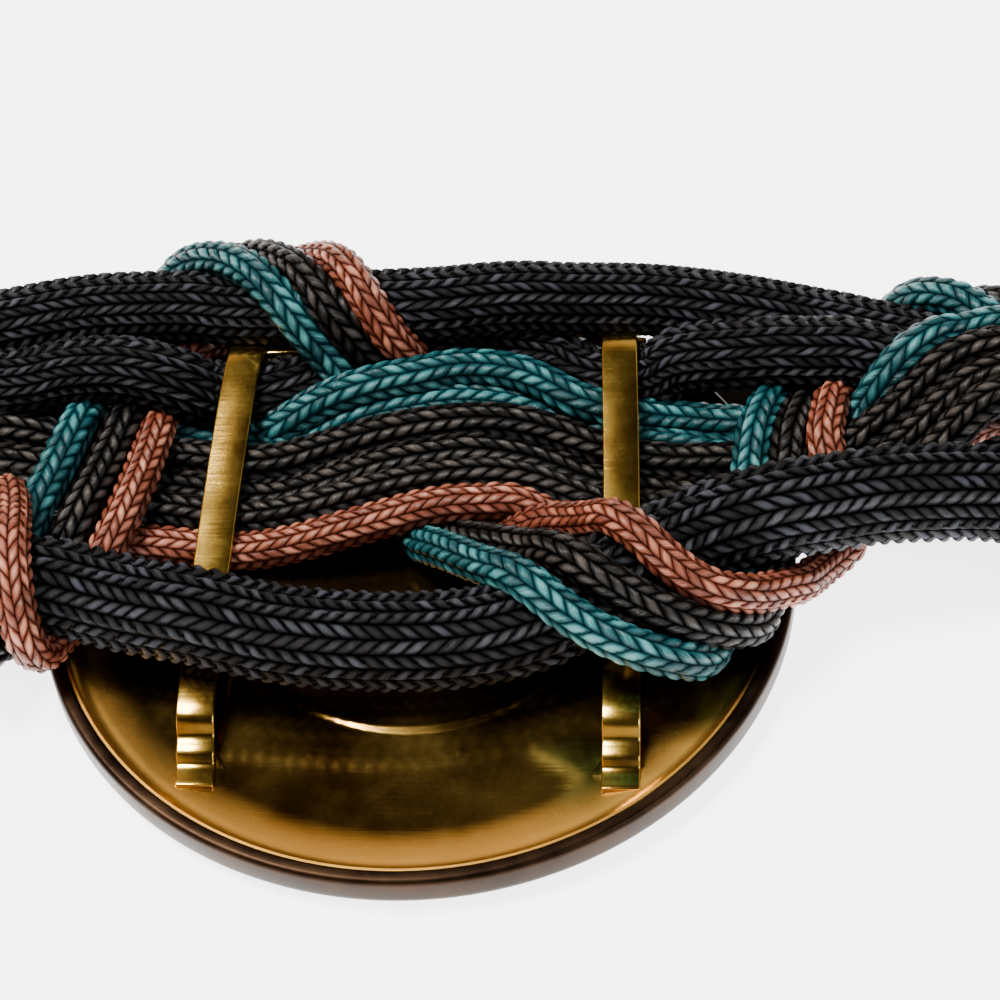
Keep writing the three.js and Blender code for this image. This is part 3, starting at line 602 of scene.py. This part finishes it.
def cord_material(name, kind, dark, mid, light, roughness, specular, fibre):
    """Twisted yarn in leaning picks with fine fibres, painted shade in the gaps and a painted crown
    highlight.
    """
    columns, pick_length, lean, relief = CORD_KINDS[kind][:4]
    material, nodes, links = new_material(name)
    shader = nodes["Principled BSDF"]
    shader.inputs["Roughness"].default_value = roughness
    uv = nodes.new("ShaderNodeUVMap")
    uv.uv_map = "braid"
    split = nodes.new("ShaderNodeSeparateXYZ")
    links.new(uv.outputs["UV"], split.inputs[0])
    u, v = split.outputs[0], split.outputs[1]
    column = math_node(nodes, links, "FLOOR", u)
    part = math_node(nodes, links, "FRACT", u)
    odd = math_node(nodes, links, "MODULO", column, 2)
    lean_way = math_node(nodes, links, "MULTIPLY_ADD", odd, 2 * lean, -lean)
    from_middle = math_node(nodes, links, "SUBTRACT", part, 0.5)
    leaning = math_node(nodes, links, "MULTIPLY", from_middle, lean_way)
    half_step = math_node(nodes, links, "MULTIPLY", odd, 0.5)
    q = math_node(nodes, links, "ADD", math_node(nodes, links, "ADD", v, leaning), half_step)
    step = math_node(nodes, links, "FRACT", q)
    pick = math_node(nodes, links, "FLOOR", q)

    def rounded(value, power):
        """1 in the middle of a step and 0 at its ends."""
        spread = math_node(nodes, links, "ABSOLUTE", math_node(nodes, links, "MULTIPLY_ADD", value, 2, -1))
        return math_node(nodes, links, "SUBTRACT", 1, math_node(nodes, links, "POWER", spread, power))

    crown = math_node(nodes, links, "MULTIPLY", rounded(part, RIDGE_POWER), rounded(step, CROWN_POWER))

    shine = math_node(nodes, links, "POWER", crown, SHINE_POWER)
    shine = math_node(nodes, links, "MULTIPLY", shine, specular)
    links.new(shine, shader.inputs["Specular IOR Level"])

    yarn = nodes.new("ShaderNodeCombineXYZ")
    links.new(math_node(nodes, links, "MULTIPLY_ADD", part, YARN_WIDTH, column), yarn.inputs[0])
    links.new(math_node(nodes, links, "MULTIPLY", q, YARN_TURNS), yarn.inputs[1])
    fibres = nodes.new("ShaderNodeTexNoise")
    fibres.inputs["Scale"].default_value = 1.0
    fibres.inputs["Detail"].default_value = FIBRE_DETAIL
    fibres.inputs["Roughness"].default_value = 0.6
    links.new(yarn.outputs[0], fibres.inputs["Vector"])

    cell = nodes.new("ShaderNodeCombineXYZ")
    links.new(column, cell.inputs[0])
    links.new(pick, cell.inputs[1])
    shade = nodes.new("ShaderNodeTexWhiteNoise")
    shade.noise_dimensions = "2D"
    links.new(cell.outputs[0], shade.inputs["Vector"])

    wear = nodes.new("ShaderNodeTexNoise")
    wear.inputs["Scale"].default_value = WEAR_SCALE
    wear.inputs["Detail"].default_value = 4
    place = nodes.new("ShaderNodeTexCoord")
    links.new(place.outputs["Object"], wear.inputs["Vector"])

    # The yarn's fibre, pick and wear tones are cut to nothing in the gaps, which is painted shade between
    # the picks. The palest tones on the crowns reach the light colour, a painted highlight.
    tone = math_node(nodes, links, "MULTIPLY_ADD", fibres.outputs["Fac"], FIBRE_TONE, TONE_START)
    tone = math_node(nodes, links, "MULTIPLY_ADD", shade.outputs["Value"], PICK_TONE, tone)
    tone = math_node(nodes, links, "MULTIPLY_ADD", wear.outputs["Fac"], WEAR_TONE, tone)
    tone = math_node(nodes, links, "MULTIPLY", tone, math_node(nodes, links, "POWER", crown, GAP_SHADE_POWER))
    ramp = nodes.new("ShaderNodeValToRGB")
    ramp.color_ramp.elements[0].position = DARK_AT
    ramp.color_ramp.elements[0].color = (*dark, 1)
    ramp.color_ramp.elements[1].position = LIGHT_AT
    ramp.color_ramp.elements[1].color = (*light, 1)
    ramp.color_ramp.elements.new(MID_AT).color = (*mid, 1)
    links.new(tone, ramp.inputs["Fac"])
    links.new(ramp.outputs["Color"], shader.inputs["Base Color"])

    relief_sum = math_node(nodes, links, "MULTIPLY_ADD", fibres.outputs["Fac"], fibre, crown)
    bump = nodes.new("ShaderNodeBump")
    bump.inputs["Distance"].default_value = relief * MM
    bump.inputs["Strength"].default_value = CORD_BUMP
    links.new(relief_sum, bump.inputs["Height"])
    links.new(bump.outputs["Normal"], shader.inputs["Normal"])
    return material


# Each cord's dark colour is mostly painted shade in the gaps, and its light colour is a painted highlight.
thick_black = cord_material(
    "thick_black_cotton", "thick",
    dark=(0.0002, 0.0002, 0.0003), mid=(0.0022, 0.0024, 0.0036), light=(0.05, 0.055, 0.075),
    roughness=0.5, specular=0.3, fibre=1.2)
thin_black = cord_material(
    "thin_black_braid", "thin",
    dark=(0.0002, 0.0002, 0.0002), mid=(0.0026, 0.0023, 0.0023), light=(0.06, 0.05, 0.044),
    roughness=0.36, specular=0.4, fibre=1.0)
teal = cord_material(
    "teal_braid", "thin",
    dark=(0.0005, 0.006, 0.008), mid=(0.004, 0.062, 0.074), light=(0.08, 0.3, 0.31),
    roughness=0.33, specular=0.5, fibre=0.8)
rust = cord_material(
    "rust_braid", "rust",
    dark=(0.012, 0.002, 0.001), mid=(0.2, 0.05, 0.026), light=(0.66, 0.27, 0.17),
    roughness=0.31, specular=0.55, fibre=0.8)

CORD_PIECES = {
    # piece: kind, node that it stands for, record slot, material
    "thick_cord_inner_braid": ("thick", "thick_cord_inner", "black_cord", thick_black),
    "thick_cord_second_braid": ("thick", "thick_cord_second", "black_cord", thick_black),
    "thick_cord_outer_braid": ("thick", "thick_cord_outer", "black_cord", thick_black),
    "core_cord_teal_upper": ("thin", "core_teal", "teal_cord", teal),
    "core_cord_teal_lower": ("thin", "core_teal", "teal_cord", teal),
    "core_cord_black_upper": ("thin", "core_black", "thin_black_cord", thin_black),
    "core_cord_black_middle": ("thin", "core_black", "thin_black_cord", thin_black),
    "core_cord_black_lower": ("thin", "core_black", "thin_black_cord", thin_black),
    "core_cord_rust": ("rust", "core_rust", "rust_cord", rust),
    "ribbon_cord_teal": ("thin", "weft_teal", "teal_cord", teal),
    "ribbon_cord_black": ("thin", "weft_black", "thin_black_cord", thin_black),
    "ribbon_cord_rust": ("rust", "weft_rust", "rust_cord", rust),
}
for name, (kind, node, slot, finish) in CORD_PIECES.items():
    width, height = THICK_SIZES.get(name, (THIN_RADIUS, THIN_RADIUS))
    cord = braided_cord(name, kind, pressed[name], width, height)
    cord.data.materials.append(finish)
    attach(cord, "root")
    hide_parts(node)


# Brass
# The metal parts are worn brass sheet, strip and block. The rim is patinated dark brown, the back plate and
# the keepers are polished, and the clasp is satin.
TARNISH_FROM = 0.36
TARNISH_FULL = 0.62
EVEN_ROUGHNESS = 0.5
FINE_GRAIN_SCALE = 2600
SCRATCH_TURN = 0.5
SCRATCH_SCALE = (160, 3200, 160)
WAVE_SCALE = 70
BRASS_RELIEF = 0.12
BRASS_BUMP = 0.5
RING_REACH = 0.02
LOOKS_UP = 0.9
SMOOTH_ANGLE = 40


def map_range(nodes, links, value, start, end, low=0, high=1):
    """A value that goes from low at start to high at end."""
    node = nodes.new("ShaderNodeMapRange")
    node.inputs["From Min"].default_value = start
    node.inputs["From Max"].default_value = end
    node.inputs["To Min"].default_value = low
    node.inputs["To Max"].default_value = high
    links.new(value, node.inputs["Value"])
    return node.outputs[0]


def mixed_colour(nodes, links, factor, first, second):
    """A colour between two others, each given as a colour or as another node's result."""
    node = nodes.new("ShaderNodeMix")
    node.data_type = "RGBA"
    links.new(factor, node.inputs["Factor"])
    for socket, colour in ((node.inputs["A"], first), (node.inputs["B"], second)):
        if isinstance(colour, tuple):
            socket.default_value = (*colour, 1)
        else:
            links.new(colour, socket)
    return node.outputs["Result"]


def length_node(nodes, links, vector):
    """A vector's length."""
    node = nodes.new("ShaderNodeVectorMath")
    node.operation = "LENGTH"
    links.new(vector, node.inputs[0])
    return node.outputs["Value"]


def brass_material(name, dark, light, roughness, grain, scratches, tarnish_scale):
    """Worn brass: cloudy tarnish, fine scratches and a slightly uneven sheet."""
    material, nodes, links = new_material(name)
    shader = nodes["Principled BSDF"]
    shader.inputs["Metallic"].default_value = 1
    place = nodes.new("ShaderNodeTexCoord")

    clouds = nodes.new("ShaderNodeTexNoise")
    clouds.inputs["Scale"].default_value = tarnish_scale
    clouds.inputs["Detail"].default_value = 6
    clouds.inputs["Roughness"].default_value = 0.6
    links.new(place.outputs["Object"], clouds.inputs["Vector"])
    ramp = nodes.new("ShaderNodeValToRGB")
    ramp.color_ramp.elements[0].position = TARNISH_FROM
    ramp.color_ramp.elements[0].color = (*dark, 1)
    ramp.color_ramp.elements[1].position = TARNISH_FULL
    ramp.color_ramp.elements[1].color = (*light, 1)
    links.new(clouds.outputs["Fac"], ramp.inputs["Fac"])
    links.new(ramp.outputs["Color"], shader.inputs["Base Color"])

    fine = nodes.new("ShaderNodeTexNoise")
    fine.inputs["Scale"].default_value = FINE_GRAIN_SCALE
    fine.inputs["Detail"].default_value = 3
    links.new(place.outputs["Object"], fine.inputs["Vector"])
    even = roughness * EVEN_ROUGHNESS
    rough = math_node(nodes, links, "MULTIPLY_ADD", clouds.outputs["Fac"], roughness, even)
    rough = math_node(nodes, links, "MULTIPLY_ADD", fine.outputs["Fac"], grain, rough)
    links.new(rough, shader.inputs["Roughness"])

    stretch = nodes.new("ShaderNodeMapping")
    stretch.inputs["Rotation"].default_value = (0, 0, SCRATCH_TURN)
    stretch.inputs["Scale"].default_value = SCRATCH_SCALE
    links.new(place.outputs["Object"], stretch.inputs["Vector"])
    lines = nodes.new("ShaderNodeTexNoise")
    lines.inputs["Scale"].default_value = 1
    lines.inputs["Detail"].default_value = 2
    links.new(stretch.outputs["Vector"], lines.inputs["Vector"])
    waves = nodes.new("ShaderNodeTexNoise")
    waves.inputs["Scale"].default_value = WAVE_SCALE
    waves.inputs["Detail"].default_value = 2
    links.new(place.outputs["Object"], waves.inputs["Vector"])
    height = math_node(nodes, links, "MULTIPLY_ADD", lines.outputs["Fac"], scratches, waves.outputs["Fac"])
    bump = nodes.new("ShaderNodeBump")
    bump.inputs["Distance"].default_value = BRASS_RELIEF * MM
    bump.inputs["Strength"].default_value = BRASS_BUMP
    links.new(height, bump.inputs["Height"])
    links.new(bump.outputs["Normal"], shader.inputs["Normal"])
    return material


def finish_brass(piece, node, material):
    """Outward normals, smooth shading, material and the piece's tags."""
    bpy.ops.object.select_all(action="DESELECT")
    bpy.context.view_layer.objects.active = piece
    piece.select_set(True)
    bpy.ops.object.mode_set(mode="EDIT")
    bpy.ops.mesh.select_all(action="SELECT")
    bpy.ops.mesh.normals_make_consistent(inside=False)
    bpy.ops.object.mode_set(mode="OBJECT")
    bpy.ops.object.transform_apply(location=True, rotation=True, scale=True)
    bpy.ops.object.shade_smooth_by_angle(angle=math.radians(SMOOTH_ANGLE))
    piece.data.materials.clear()
    piece.data.materials.append(material)
    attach(piece, "root")
    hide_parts(node)


def select_faces_up(piece, lowest):
    """Pick the faces that look up and lie above a height."""
    bpy.ops.object.mode_set(mode="OBJECT")
    for face in piece.data.polygons:
        face.select = face.normal.z > LOOKS_UP and face.center.z > lowest * MM
    for edge in piece.data.edges:
        edge.select = False
    for vertex in piece.data.vertices:
        vertex.select = False
    for face in piece.data.polygons:
        if face.select:
            for index in face.vertices:
                piece.data.vertices[index].select = True
    bpy.ops.object.mode_set(mode="EDIT")
    bpy.ops.mesh.select_mode(type="FACE")


def bevel_ring(piece, radius, height, offset, segments):
    """Round the ring of edges at a radius and a height."""
    bpy.ops.object.mode_set(mode="OBJECT")
    on_ring = []
    for vertex in piece.data.vertices:
        off_radius = abs(math.hypot(vertex.co.x, vertex.co.y) - radius * MM)
        off_height = abs(vertex.co.z - height * MM)
        on_ring.append(max(off_radius, off_height) < RING_REACH * MM)
    for face in piece.data.polygons:
        face.select = False
    for vertex, picked in zip(piece.data.vertices, on_ring):
        vertex.select = picked
    for edge in piece.data.edges:
        edge.select = on_ring[edge.vertices[0]] and on_ring[edge.vertices[1]]
    bpy.ops.object.mode_set(mode="EDIT")
    bpy.ops.mesh.select_mode(type="EDGE")
    bpy.ops.mesh.bevel(offset=offset * MM, segments=segments, profile=0.5)
    bpy.ops.object.mode_set(mode="OBJECT")


# Medallion shell
# A shallow brass tray, patinated dark brown, with its smooth face down and a turned-up rim. It is a
# disc whose top is inset and sunk, with the rim's edges rounded.
RIM_WALL = 1.5
SHELL_SHEET = 1.2
ROUND_SEGMENTS = 192
FACE_EDGE_ROUND = 1.5
RIM_OUTER_ROUND = 0.6
RIM_INNER_ROUND = 0.25
NEAR_TOP = 0.1
rim_brown = brass_material(
    "dark_rim_brass", dark=(0.011, 0.006, 0.004), light=(0.036, 0.02, 0.011),
    roughness=0.36, grain=0.1, scratches=0.15, tarnish_scale=120)
bpy.ops.object.select_all(action="DESELECT")
bpy.ops.mesh.primitive_cylinder_add(
    vertices=ROUND_SEGMENTS, radius=MEDALLION_RADIUS * MM, depth=RIM_HEIGHT * MM, location=(0, 0, 0))
shell = bpy.context.object
shell.name = "medallion_shell_brass"
shell.data.transform(Matrix.Translation((0, 0, RIM_HEIGHT / 2 * MM)))
select_faces_up(shell, RIM_HEIGHT - NEAR_TOP)
bpy.ops.mesh.inset(thickness=RIM_WALL * MM, depth=0)
sunk = (SHELL_SHEET - RIM_HEIGHT) * MM
bpy.ops.mesh.extrude_region_move(TRANSFORM_OT_translate={"value": (0, 0, sunk)})
bevel_ring(shell, MEDALLION_RADIUS, 0, FACE_EDGE_ROUND, segments=8)
bevel_ring(shell, MEDALLION_RADIUS, RIM_HEIGHT, RIM_OUTER_ROUND, segments=5)
bevel_ring(shell, MEDALLION_RADIUS - RIM_WALL, RIM_HEIGHT, RIM_INNER_ROUND, segments=3)
finish_brass(shell, "medallion_shell", rim_brown)


# Back plate
# A disc of brass sheet pressed into the shell. It is slightly dished, its edge curls up to the rim in a
# fillet, and a low round is embossed in its middle. Its outer dish and fillet carry a painted highlight.
# Its disc's top is inset and lowered in rings.
PLATE_CLEARANCE = 0.1
PLATE_BELOW_RIM = 0.3
PLATE_LIP = 0.25
FILLET_RADIUS = 1.6
FILLET_STEPS = 8
DISH_WIDTH = 5.2
DISH_RISE = 0.56
DISH_STEPS = 10
FLAT_RINGS = 4
RAISED_ROUND_RADIUS = 19
RAISED_ROUND_HEIGHT = 0.25
EMBOSS_EDGE = 1.1
EMBOSS_STEPS = 6
ROUND_MATT_FROM = 19.2
ROUND_MATT_FULL = 18.4
ROUND_MATT = 0.08
HIGHLIGHT_BAND_FROM = 31.0
HIGHLIGHT_BAND_FULL = 34.0
HIGHLIGHT_BAND_MATT = 0.17
EDGE_HIGHLIGHT_COLOUR = (1.0, 0.52, 0.1)
SHADE_FROM = -17
SHADE_FULL = -12
SHADE = 0.93
SHADE_COLOUR = (0.02, 0.012, 0.006)
plate_brass = brass_material(
    "worn_plate_brass_with_painted_light", dark=(0.34, 0.17, 0.03), light=(0.74, 0.46, 0.1),
    roughness=0.12, grain=0.04, scratches=0.1, tarnish_scale=90)

# The plate's round is matt, its dished edge out to the rim is more matt and carries a painted highlight,
# and painted shade darkens it where the braid shades it.
nodes, links = plate_brass.node_tree.nodes, plate_brass.node_tree.links
shader = nodes["Principled BSDF"]
place = nodes.new("ShaderNodeTexCoord")
from_middle = length_node(nodes, links, place.outputs["Object"])
on_round = map_range(nodes, links, from_middle, ROUND_MATT_FROM * MM, ROUND_MATT_FULL * MM)
on_highlight_band = map_range(nodes, links, from_middle, HIGHLIGHT_BAND_FROM * MM, HIGHLIGHT_BAND_FULL * MM)
matt = shader.inputs["Roughness"].links[0].from_socket
matt = math_node(nodes, links, "MULTIPLY_ADD", on_round, ROUND_MATT, matt)
matt = math_node(nodes, links, "MULTIPLY_ADD", on_highlight_band, HIGHLIGHT_BAND_MATT, matt)
links.new(matt, shader.inputs["Roughness"])
split = nodes.new("ShaderNodeSeparateXYZ")
links.new(place.outputs["Object"], split.inputs[0])
shaded = map_range(nodes, links, split.outputs[1], SHADE_FROM * MM, SHADE_FULL * MM, high=SHADE)
colour = shader.inputs["Base Color"].links[0].from_socket
# Painted highlight in the brass colour from the outer dish out to the rim, then painted shade under the
# braid.
colour = mixed_colour(nodes, links, on_highlight_band, colour, EDGE_HIGHLIGHT_COLOUR)
colour = mixed_colour(nodes, links, shaded, colour, SHADE_COLOUR)
links.new(colour, shader.inputs["Base Color"])

plate_edge = MEDALLION_RADIUS - RIM_WALL - PLATE_CLEARANCE
plate_high = RIM_HEIGHT - PLATE_BELOW_RIM
plate_depth = plate_high - SHELL_SHEET
bpy.ops.object.select_all(action="DESELECT")
bpy.ops.mesh.primitive_cylinder_add(
    vertices=ROUND_SEGMENTS, radius=plate_edge * MM, depth=plate_depth * MM, location=(0, 0, 0))
plate = bpy.context.object
plate.name = "back_plate_brass"
plate.data.transform(Matrix.Translation((0, 0, (plate_high + SHELL_SHEET) / 2 * MM)))
select_faces_up(plate, plate_high - NEAR_TOP)
bpy.ops.mesh.inset(thickness=PLATE_LIP * MM, depth=0)
fillet_depth = plate_high - PLATE_TOP - DISH_RISE
for step in range(FILLET_STEPS):
    turned = math.pi / 2 * step / FILLET_STEPS
    turned_next = math.pi / 2 * (step + 1) / FILLET_STEPS
    inward = FILLET_RADIUS * (math.cos(turned) - math.cos(turned_next))
    down = fillet_depth * (math.sin(turned_next) - math.sin(turned))
    bpy.ops.mesh.inset(thickness=inward * MM, depth=-down * MM)
for step in range(DISH_STEPS):
    inside, outside = 1 - (step + 1) / DISH_STEPS, 1 - step / DISH_STEPS
    down = DISH_RISE * (outside ** 2 - inside ** 2)
    bpy.ops.mesh.inset(thickness=DISH_WIDTH / DISH_STEPS * MM, depth=-down * MM)
flat_radius = plate_edge - PLATE_LIP - FILLET_RADIUS - DISH_WIDTH
flat_width = flat_radius - RAISED_ROUND_RADIUS - EMBOSS_EDGE
for _ in range(FLAT_RINGS):
    bpy.ops.mesh.inset(thickness=flat_width / FLAT_RINGS * MM, depth=0)
for step in range(EMBOSS_STEPS):
    rise = smoothstep((step + 1) / EMBOSS_STEPS, 0, 1) - smoothstep(step / EMBOSS_STEPS, 0, 1)
    bpy.ops.mesh.inset(thickness=EMBOSS_EDGE / EMBOSS_STEPS * MM, depth=RAISED_ROUND_HEIGHT * rise * MM)
bpy.ops.object.mode_set(mode="OBJECT")
finish_brass(plate, "back_plate", plate_brass)


# Keepers
# Two straps of brass strip, each with a stepped foot on a pad of solder and a thin prong near its top. They
# run under the outer thick cord, over the core and the second thick cord, and dive under the inner one.
# The strip is extruded along the strap's line, then given its thickness and softened edges.
STRAP_STEP = 0.6
STRAP_SOFTNESS = 0.18
PRONG_WIDTH = 0.9
PRONG_THICKNESS = 0.5
PRONG_HEIGHT = 8.9
PRONG_TAPER = 0.6
PRONG_IN_STRAP = 0.6
PRONG_SOFTNESS = 0.12
SOLDER_PAD = (3.0, 3.4, 0.16)
SOLDER_PAD_ACROSS = -25.4
SOLDER_RIPPLE = 0.05
SOLDER_FINE_RIPPLE = 0.03
SOLDER_WAVES = 3
SOLDER_FINE_WAVES = 7
keeper_brass = brass_material(
    "keeper_brass", dark=(0.36, 0.19, 0.03), light=(0.78, 0.5, 0.09),
    roughness=0.14, grain=0.06, scratches=0.12, tarnish_scale=110)
for side, (along, shoulder, slant, bow, prong_length) in KEEPERS.items():
    line = evenly_spaced([(0, across, height) for across, height in keeper_line(shoulder)], STRAP_STEP)
    line[:, 0] = along + slant * line[:, 1] + bow * line[:, 1] ** 2
    bpy.ops.object.select_all(action="DESELECT")
    bpy.ops.mesh.primitive_plane_add(size=1, location=(0, 0, 0))
    strap = bpy.context.object
    strap.name = "keeper_" + side
    first, second = Vector(line[0]), Vector(line[1])
    half = KEEPER_WIDTH / 2
    for vertex in strap.data.vertices:
        end = first if vertex.co.y < 0 else second
        vertex.co = (end + Vector((math.copysign(half, vertex.co.x), 0, 0))) * MM
    bpy.ops.object.mode_set(mode="EDIT")
    bpy.ops.mesh.select_mode(type="EDGE")
    bpy.ops.mesh.select_all(action="DESELECT")
    strap_mesh = bmesh.from_edit_mesh(strap.data)
    for edge in strap_mesh.edges:
        edge.select = all((v.co - second * MM).length < (half + RING_REACH) * MM for v in edge.verts)
    bmesh.update_edit_mesh(strap.data)
    for start, end in zip(line[1:-1], line[2:]):
        bpy.ops.mesh.extrude_region_move(TRANSFORM_OT_translate={"value": tuple((end - start) * MM)})
    bpy.ops.object.mode_set(mode="OBJECT")
    thicken = strap.modifiers.new("thickness", "SOLIDIFY")
    thicken.thickness = KEEPER_THICKNESS * MM
    thicken.offset = 0
    thicken.use_even_offset = True
    soften = strap.modifiers.new("soft_edges", "BEVEL")
    soften.width = STRAP_SOFTNESS * MM
    soften.segments = 3
    soften.limit_method = "ANGLE"
    soften.angle_limit = math.radians(50)
    bpy.ops.object.modifier_apply(modifier="thickness")
    bpy.ops.object.modifier_apply(modifier="soft_edges")
    finish_brass(strap, "back_plate", keeper_brass)

    bpy.ops.object.select_all(action="DESELECT")
    bpy.ops.mesh.primitive_uv_sphere_add(segments=48, ring_count=24, radius=1, location=(0, 0, 0))
    pad = bpy.context.object
    pad.name = "solder_pad_" + side
    for vertex in pad.data.vertices:
        x, y, z = vertex.co
        round_it = math.atan2(y, x)
        ripple = 1 + SOLDER_RIPPLE * math.sin(SOLDER_WAVES * round_it + along)
        ripple += SOLDER_FINE_RIPPLE * math.sin(SOLDER_FINE_WAVES * round_it)
        vertex.co = Vector((x * SOLDER_PAD[0] * ripple, y * SOLDER_PAD[1] * ripple, z * SOLDER_PAD[2])) * MM
    pad.data.transform(Matrix.Translation(Vector((line[0, 0], SOLDER_PAD_ACROSS, PLATE_TOP)) * MM))
    # The pad takes the plate's brass, so where it reaches the outer band it carries the painted highlight
    # too.
    finish_brass(pad, "back_plate", plate_brass)

    bpy.ops.object.select_all(action="DESELECT")
    bpy.ops.mesh.primitive_cube_add(size=1, location=(0, 0, 0))
    prong = bpy.context.object
    prong.name = "keeper_prong_" + side
    for vertex in prong.data.vertices:
        x, y, z = vertex.co
        taper = 1 - PRONG_TAPER * (x + 0.5)
        vertex.co = Vector((x * prong_length, y * PRONG_WIDTH * taper, z * PRONG_THICKNESS)) * MM
    middle = line[-1, 0] + (KEEPER_WIDTH + prong_length) / 2 - PRONG_IN_STRAP
    prong.data.transform(Matrix.Translation(Vector((middle, shoulder - PRONG_IN_STRAP, PRONG_HEIGHT)) * MM))
    soften = prong.modifiers.new("soft_edges", "BEVEL")
    soften.width = PRONG_SOFTNESS * MM
    soften.segments = 2
    bpy.ops.object.modifier_apply(modifier="soft_edges")
    finish_brass(prong, "back_plate", keeper_brass)


# Clasp
# The fastening at the back of the waist is hidden in the photograph, so it is one plain brass block
# with rounded edges round all the cords' ends.
CLASP_LOW = -20.2
CLASP_HIGH = 41.8
CLASP_THICKNESS = 15
CLASP_ROUND = 2.2
clasp_brass = brass_material(
    "satin_clasp_brass", dark=(0.5, 0.32, 0.08), light=(0.7, 0.48, 0.14),
    roughness=0.3, grain=0.05, scratches=0.2, tarnish_scale=60)
bpy.ops.object.select_all(action="DESELECT")
bpy.ops.mesh.primitive_cube_add(size=1, location=(0, 0, 0))
clasp = bpy.context.object
clasp.name = "clasp_block"
clasp_height = CLASP_HIGH - CLASP_LOW
clasp.data.transform(Matrix.Diagonal((CLASP_LENGTH * MM, CLASP_THICKNESS * MM, clasp_height * MM, 1)))
clasp_middle = Vector((
    BELT_MIDDLE,
    INNER_EDGE + 2 * END_RADIUS - CLASP_THICKNESS / 2,
    INNER_EDGE - (CLASP_HIGH + CLASP_LOW) / 2,
))
clasp.data.transform(Matrix.Translation(clasp_middle * MM))
soften = clasp.modifiers.new("round_edges", "BEVEL")
soften.width = CLASP_ROUND * MM
soften.segments = 6
bpy.ops.object.modifier_apply(modifier="round_edges")
finish_brass(clasp, "clasp", clasp_brass)


# Stage
# A pale paper floor that glows, to come near the photograph's white ground. An oval of it under the front
# of the braid is a painted shadow, dark and without glow, to darken the gaps between the cords. The room is
# warm on the left, pale on the right and dark overhead, and two soft lamps stand above the belt.
FLOOR_SIZE = 6
FLOOR_BELOW = 0.02
PAPER = (0.9, 0.9, 0.9)
PAINTED_SHADOW_PAPER = (0.03, 0.03, 0.03)
PAPER_GLOW = 4.0
SHADOW_OVAL_MIDDLE_Y = 20
SHADOW_OVAL_SIZE = (110, 16)
SHADOW_OVAL_DARK_TO = 0.85
WARM_WALL = (1.0, 0.62, 0.36)
PALE_WALL = (1.0, 0.98, 0.86)
WALL_CHANGE = 0.9
WALLS_UP_TO = 0.6
DARK_FROM = 0.74
OVERHEAD_LIGHT = 0.03
WALL_LIGHT = 1.3
ROOM_STRENGTH = 0.55
bpy.ops.object.select_all(action="DESELECT")
bpy.ops.mesh.primitive_plane_add(size=FLOOR_SIZE, location=(0, 0, -FLOOR_BELOW * MM))
floor = bpy.context.object
floor.name = "floor"
paper, nodes, links = new_material("pale_paper")
shader = nodes["Principled BSDF"]
shader.inputs["Roughness"].default_value = 0.8
shader.inputs["Emission Color"].default_value = (1, 1, 1, 1)
place = nodes.new("ShaderNodeTexCoord")
# The oval is a painted shadow: inside it the paper is dark and does not glow.
shadow_oval = nodes.new("ShaderNodeMapping")
shadow_oval.vector_type = "TEXTURE"
shadow_oval.inputs["Location"].default_value = (0, SHADOW_OVAL_MIDDLE_Y * MM, 0)
shadow_oval.inputs["Scale"].default_value = (SHADOW_OVAL_SIZE[0] * MM, SHADOW_OVAL_SIZE[1] * MM, 1)
links.new(place.outputs["Object"], shadow_oval.inputs["Vector"])
from_braid = length_node(nodes, links, shadow_oval.outputs["Vector"])
glow = map_range(nodes, links, from_braid, SHADOW_OVAL_DARK_TO, 1, high=PAPER_GLOW)
links.new(glow, shader.inputs["Emission Strength"])
links.new(mixed_colour(nodes, links, glow, PAINTED_SHADOW_PAPER, PAPER), shader.inputs["Base Color"])
floor.data.materials.append(paper)

world = bpy.data.worlds.new("room")
world.use_nodes = True
nodes, links = world.node_tree.nodes, world.node_tree.links
way = nodes.new("ShaderNodeTexCoord")
split = nodes.new("ShaderNodeSeparateXYZ")
links.new(way.outputs["Generated"], split.inputs[0])
to_the_right = math_node(nodes, links, "MULTIPLY_ADD", split.outputs[0], WALL_CHANGE, 0.5)
light = map_range(nodes, links, split.outputs[2], DARK_FROM, WALLS_UP_TO, OVERHEAD_LIGHT, WALL_LIGHT)
room = nodes.new("ShaderNodeVectorMath")
room.operation = "SCALE"
links.new(mixed_colour(nodes, links, to_the_right, WARM_WALL, PALE_WALL), room.inputs[0])
links.new(light, room.inputs["Scale"])
links.new(room.outputs["Vector"], nodes["Background"].inputs["Color"])
nodes["Background"].inputs["Strength"].default_value = ROOM_STRENGTH
bpy.context.scene.world = world

LAMPS = {
    # place, size, power in watts, colour
    "key_lamp": ((-0.35, 0.1, 0.8), 0.3, 18.0, (1.0, 0.96, 0.9)),
    "fill_lamp": ((0.6, -0.3, 0.6), 0.3, 3.0, (0.9, 0.95, 1.0)),
}
for name, (place, size, power, colour) in LAMPS.items():
    lamp_data = bpy.data.lights.new(name, "AREA")
    lamp_data.size = size
    lamp_data.energy = power
    lamp_data.color = colour
    lamp = bpy.data.objects.new(name, lamp_data)
    lamp.location = place
    lamp.rotation_euler = (-Vector(place)).to_track_quat("-Z", "Y").to_euler()
    bpy.context.scene.collection.objects.link(lamp)

bpy.context.view_layer.update()
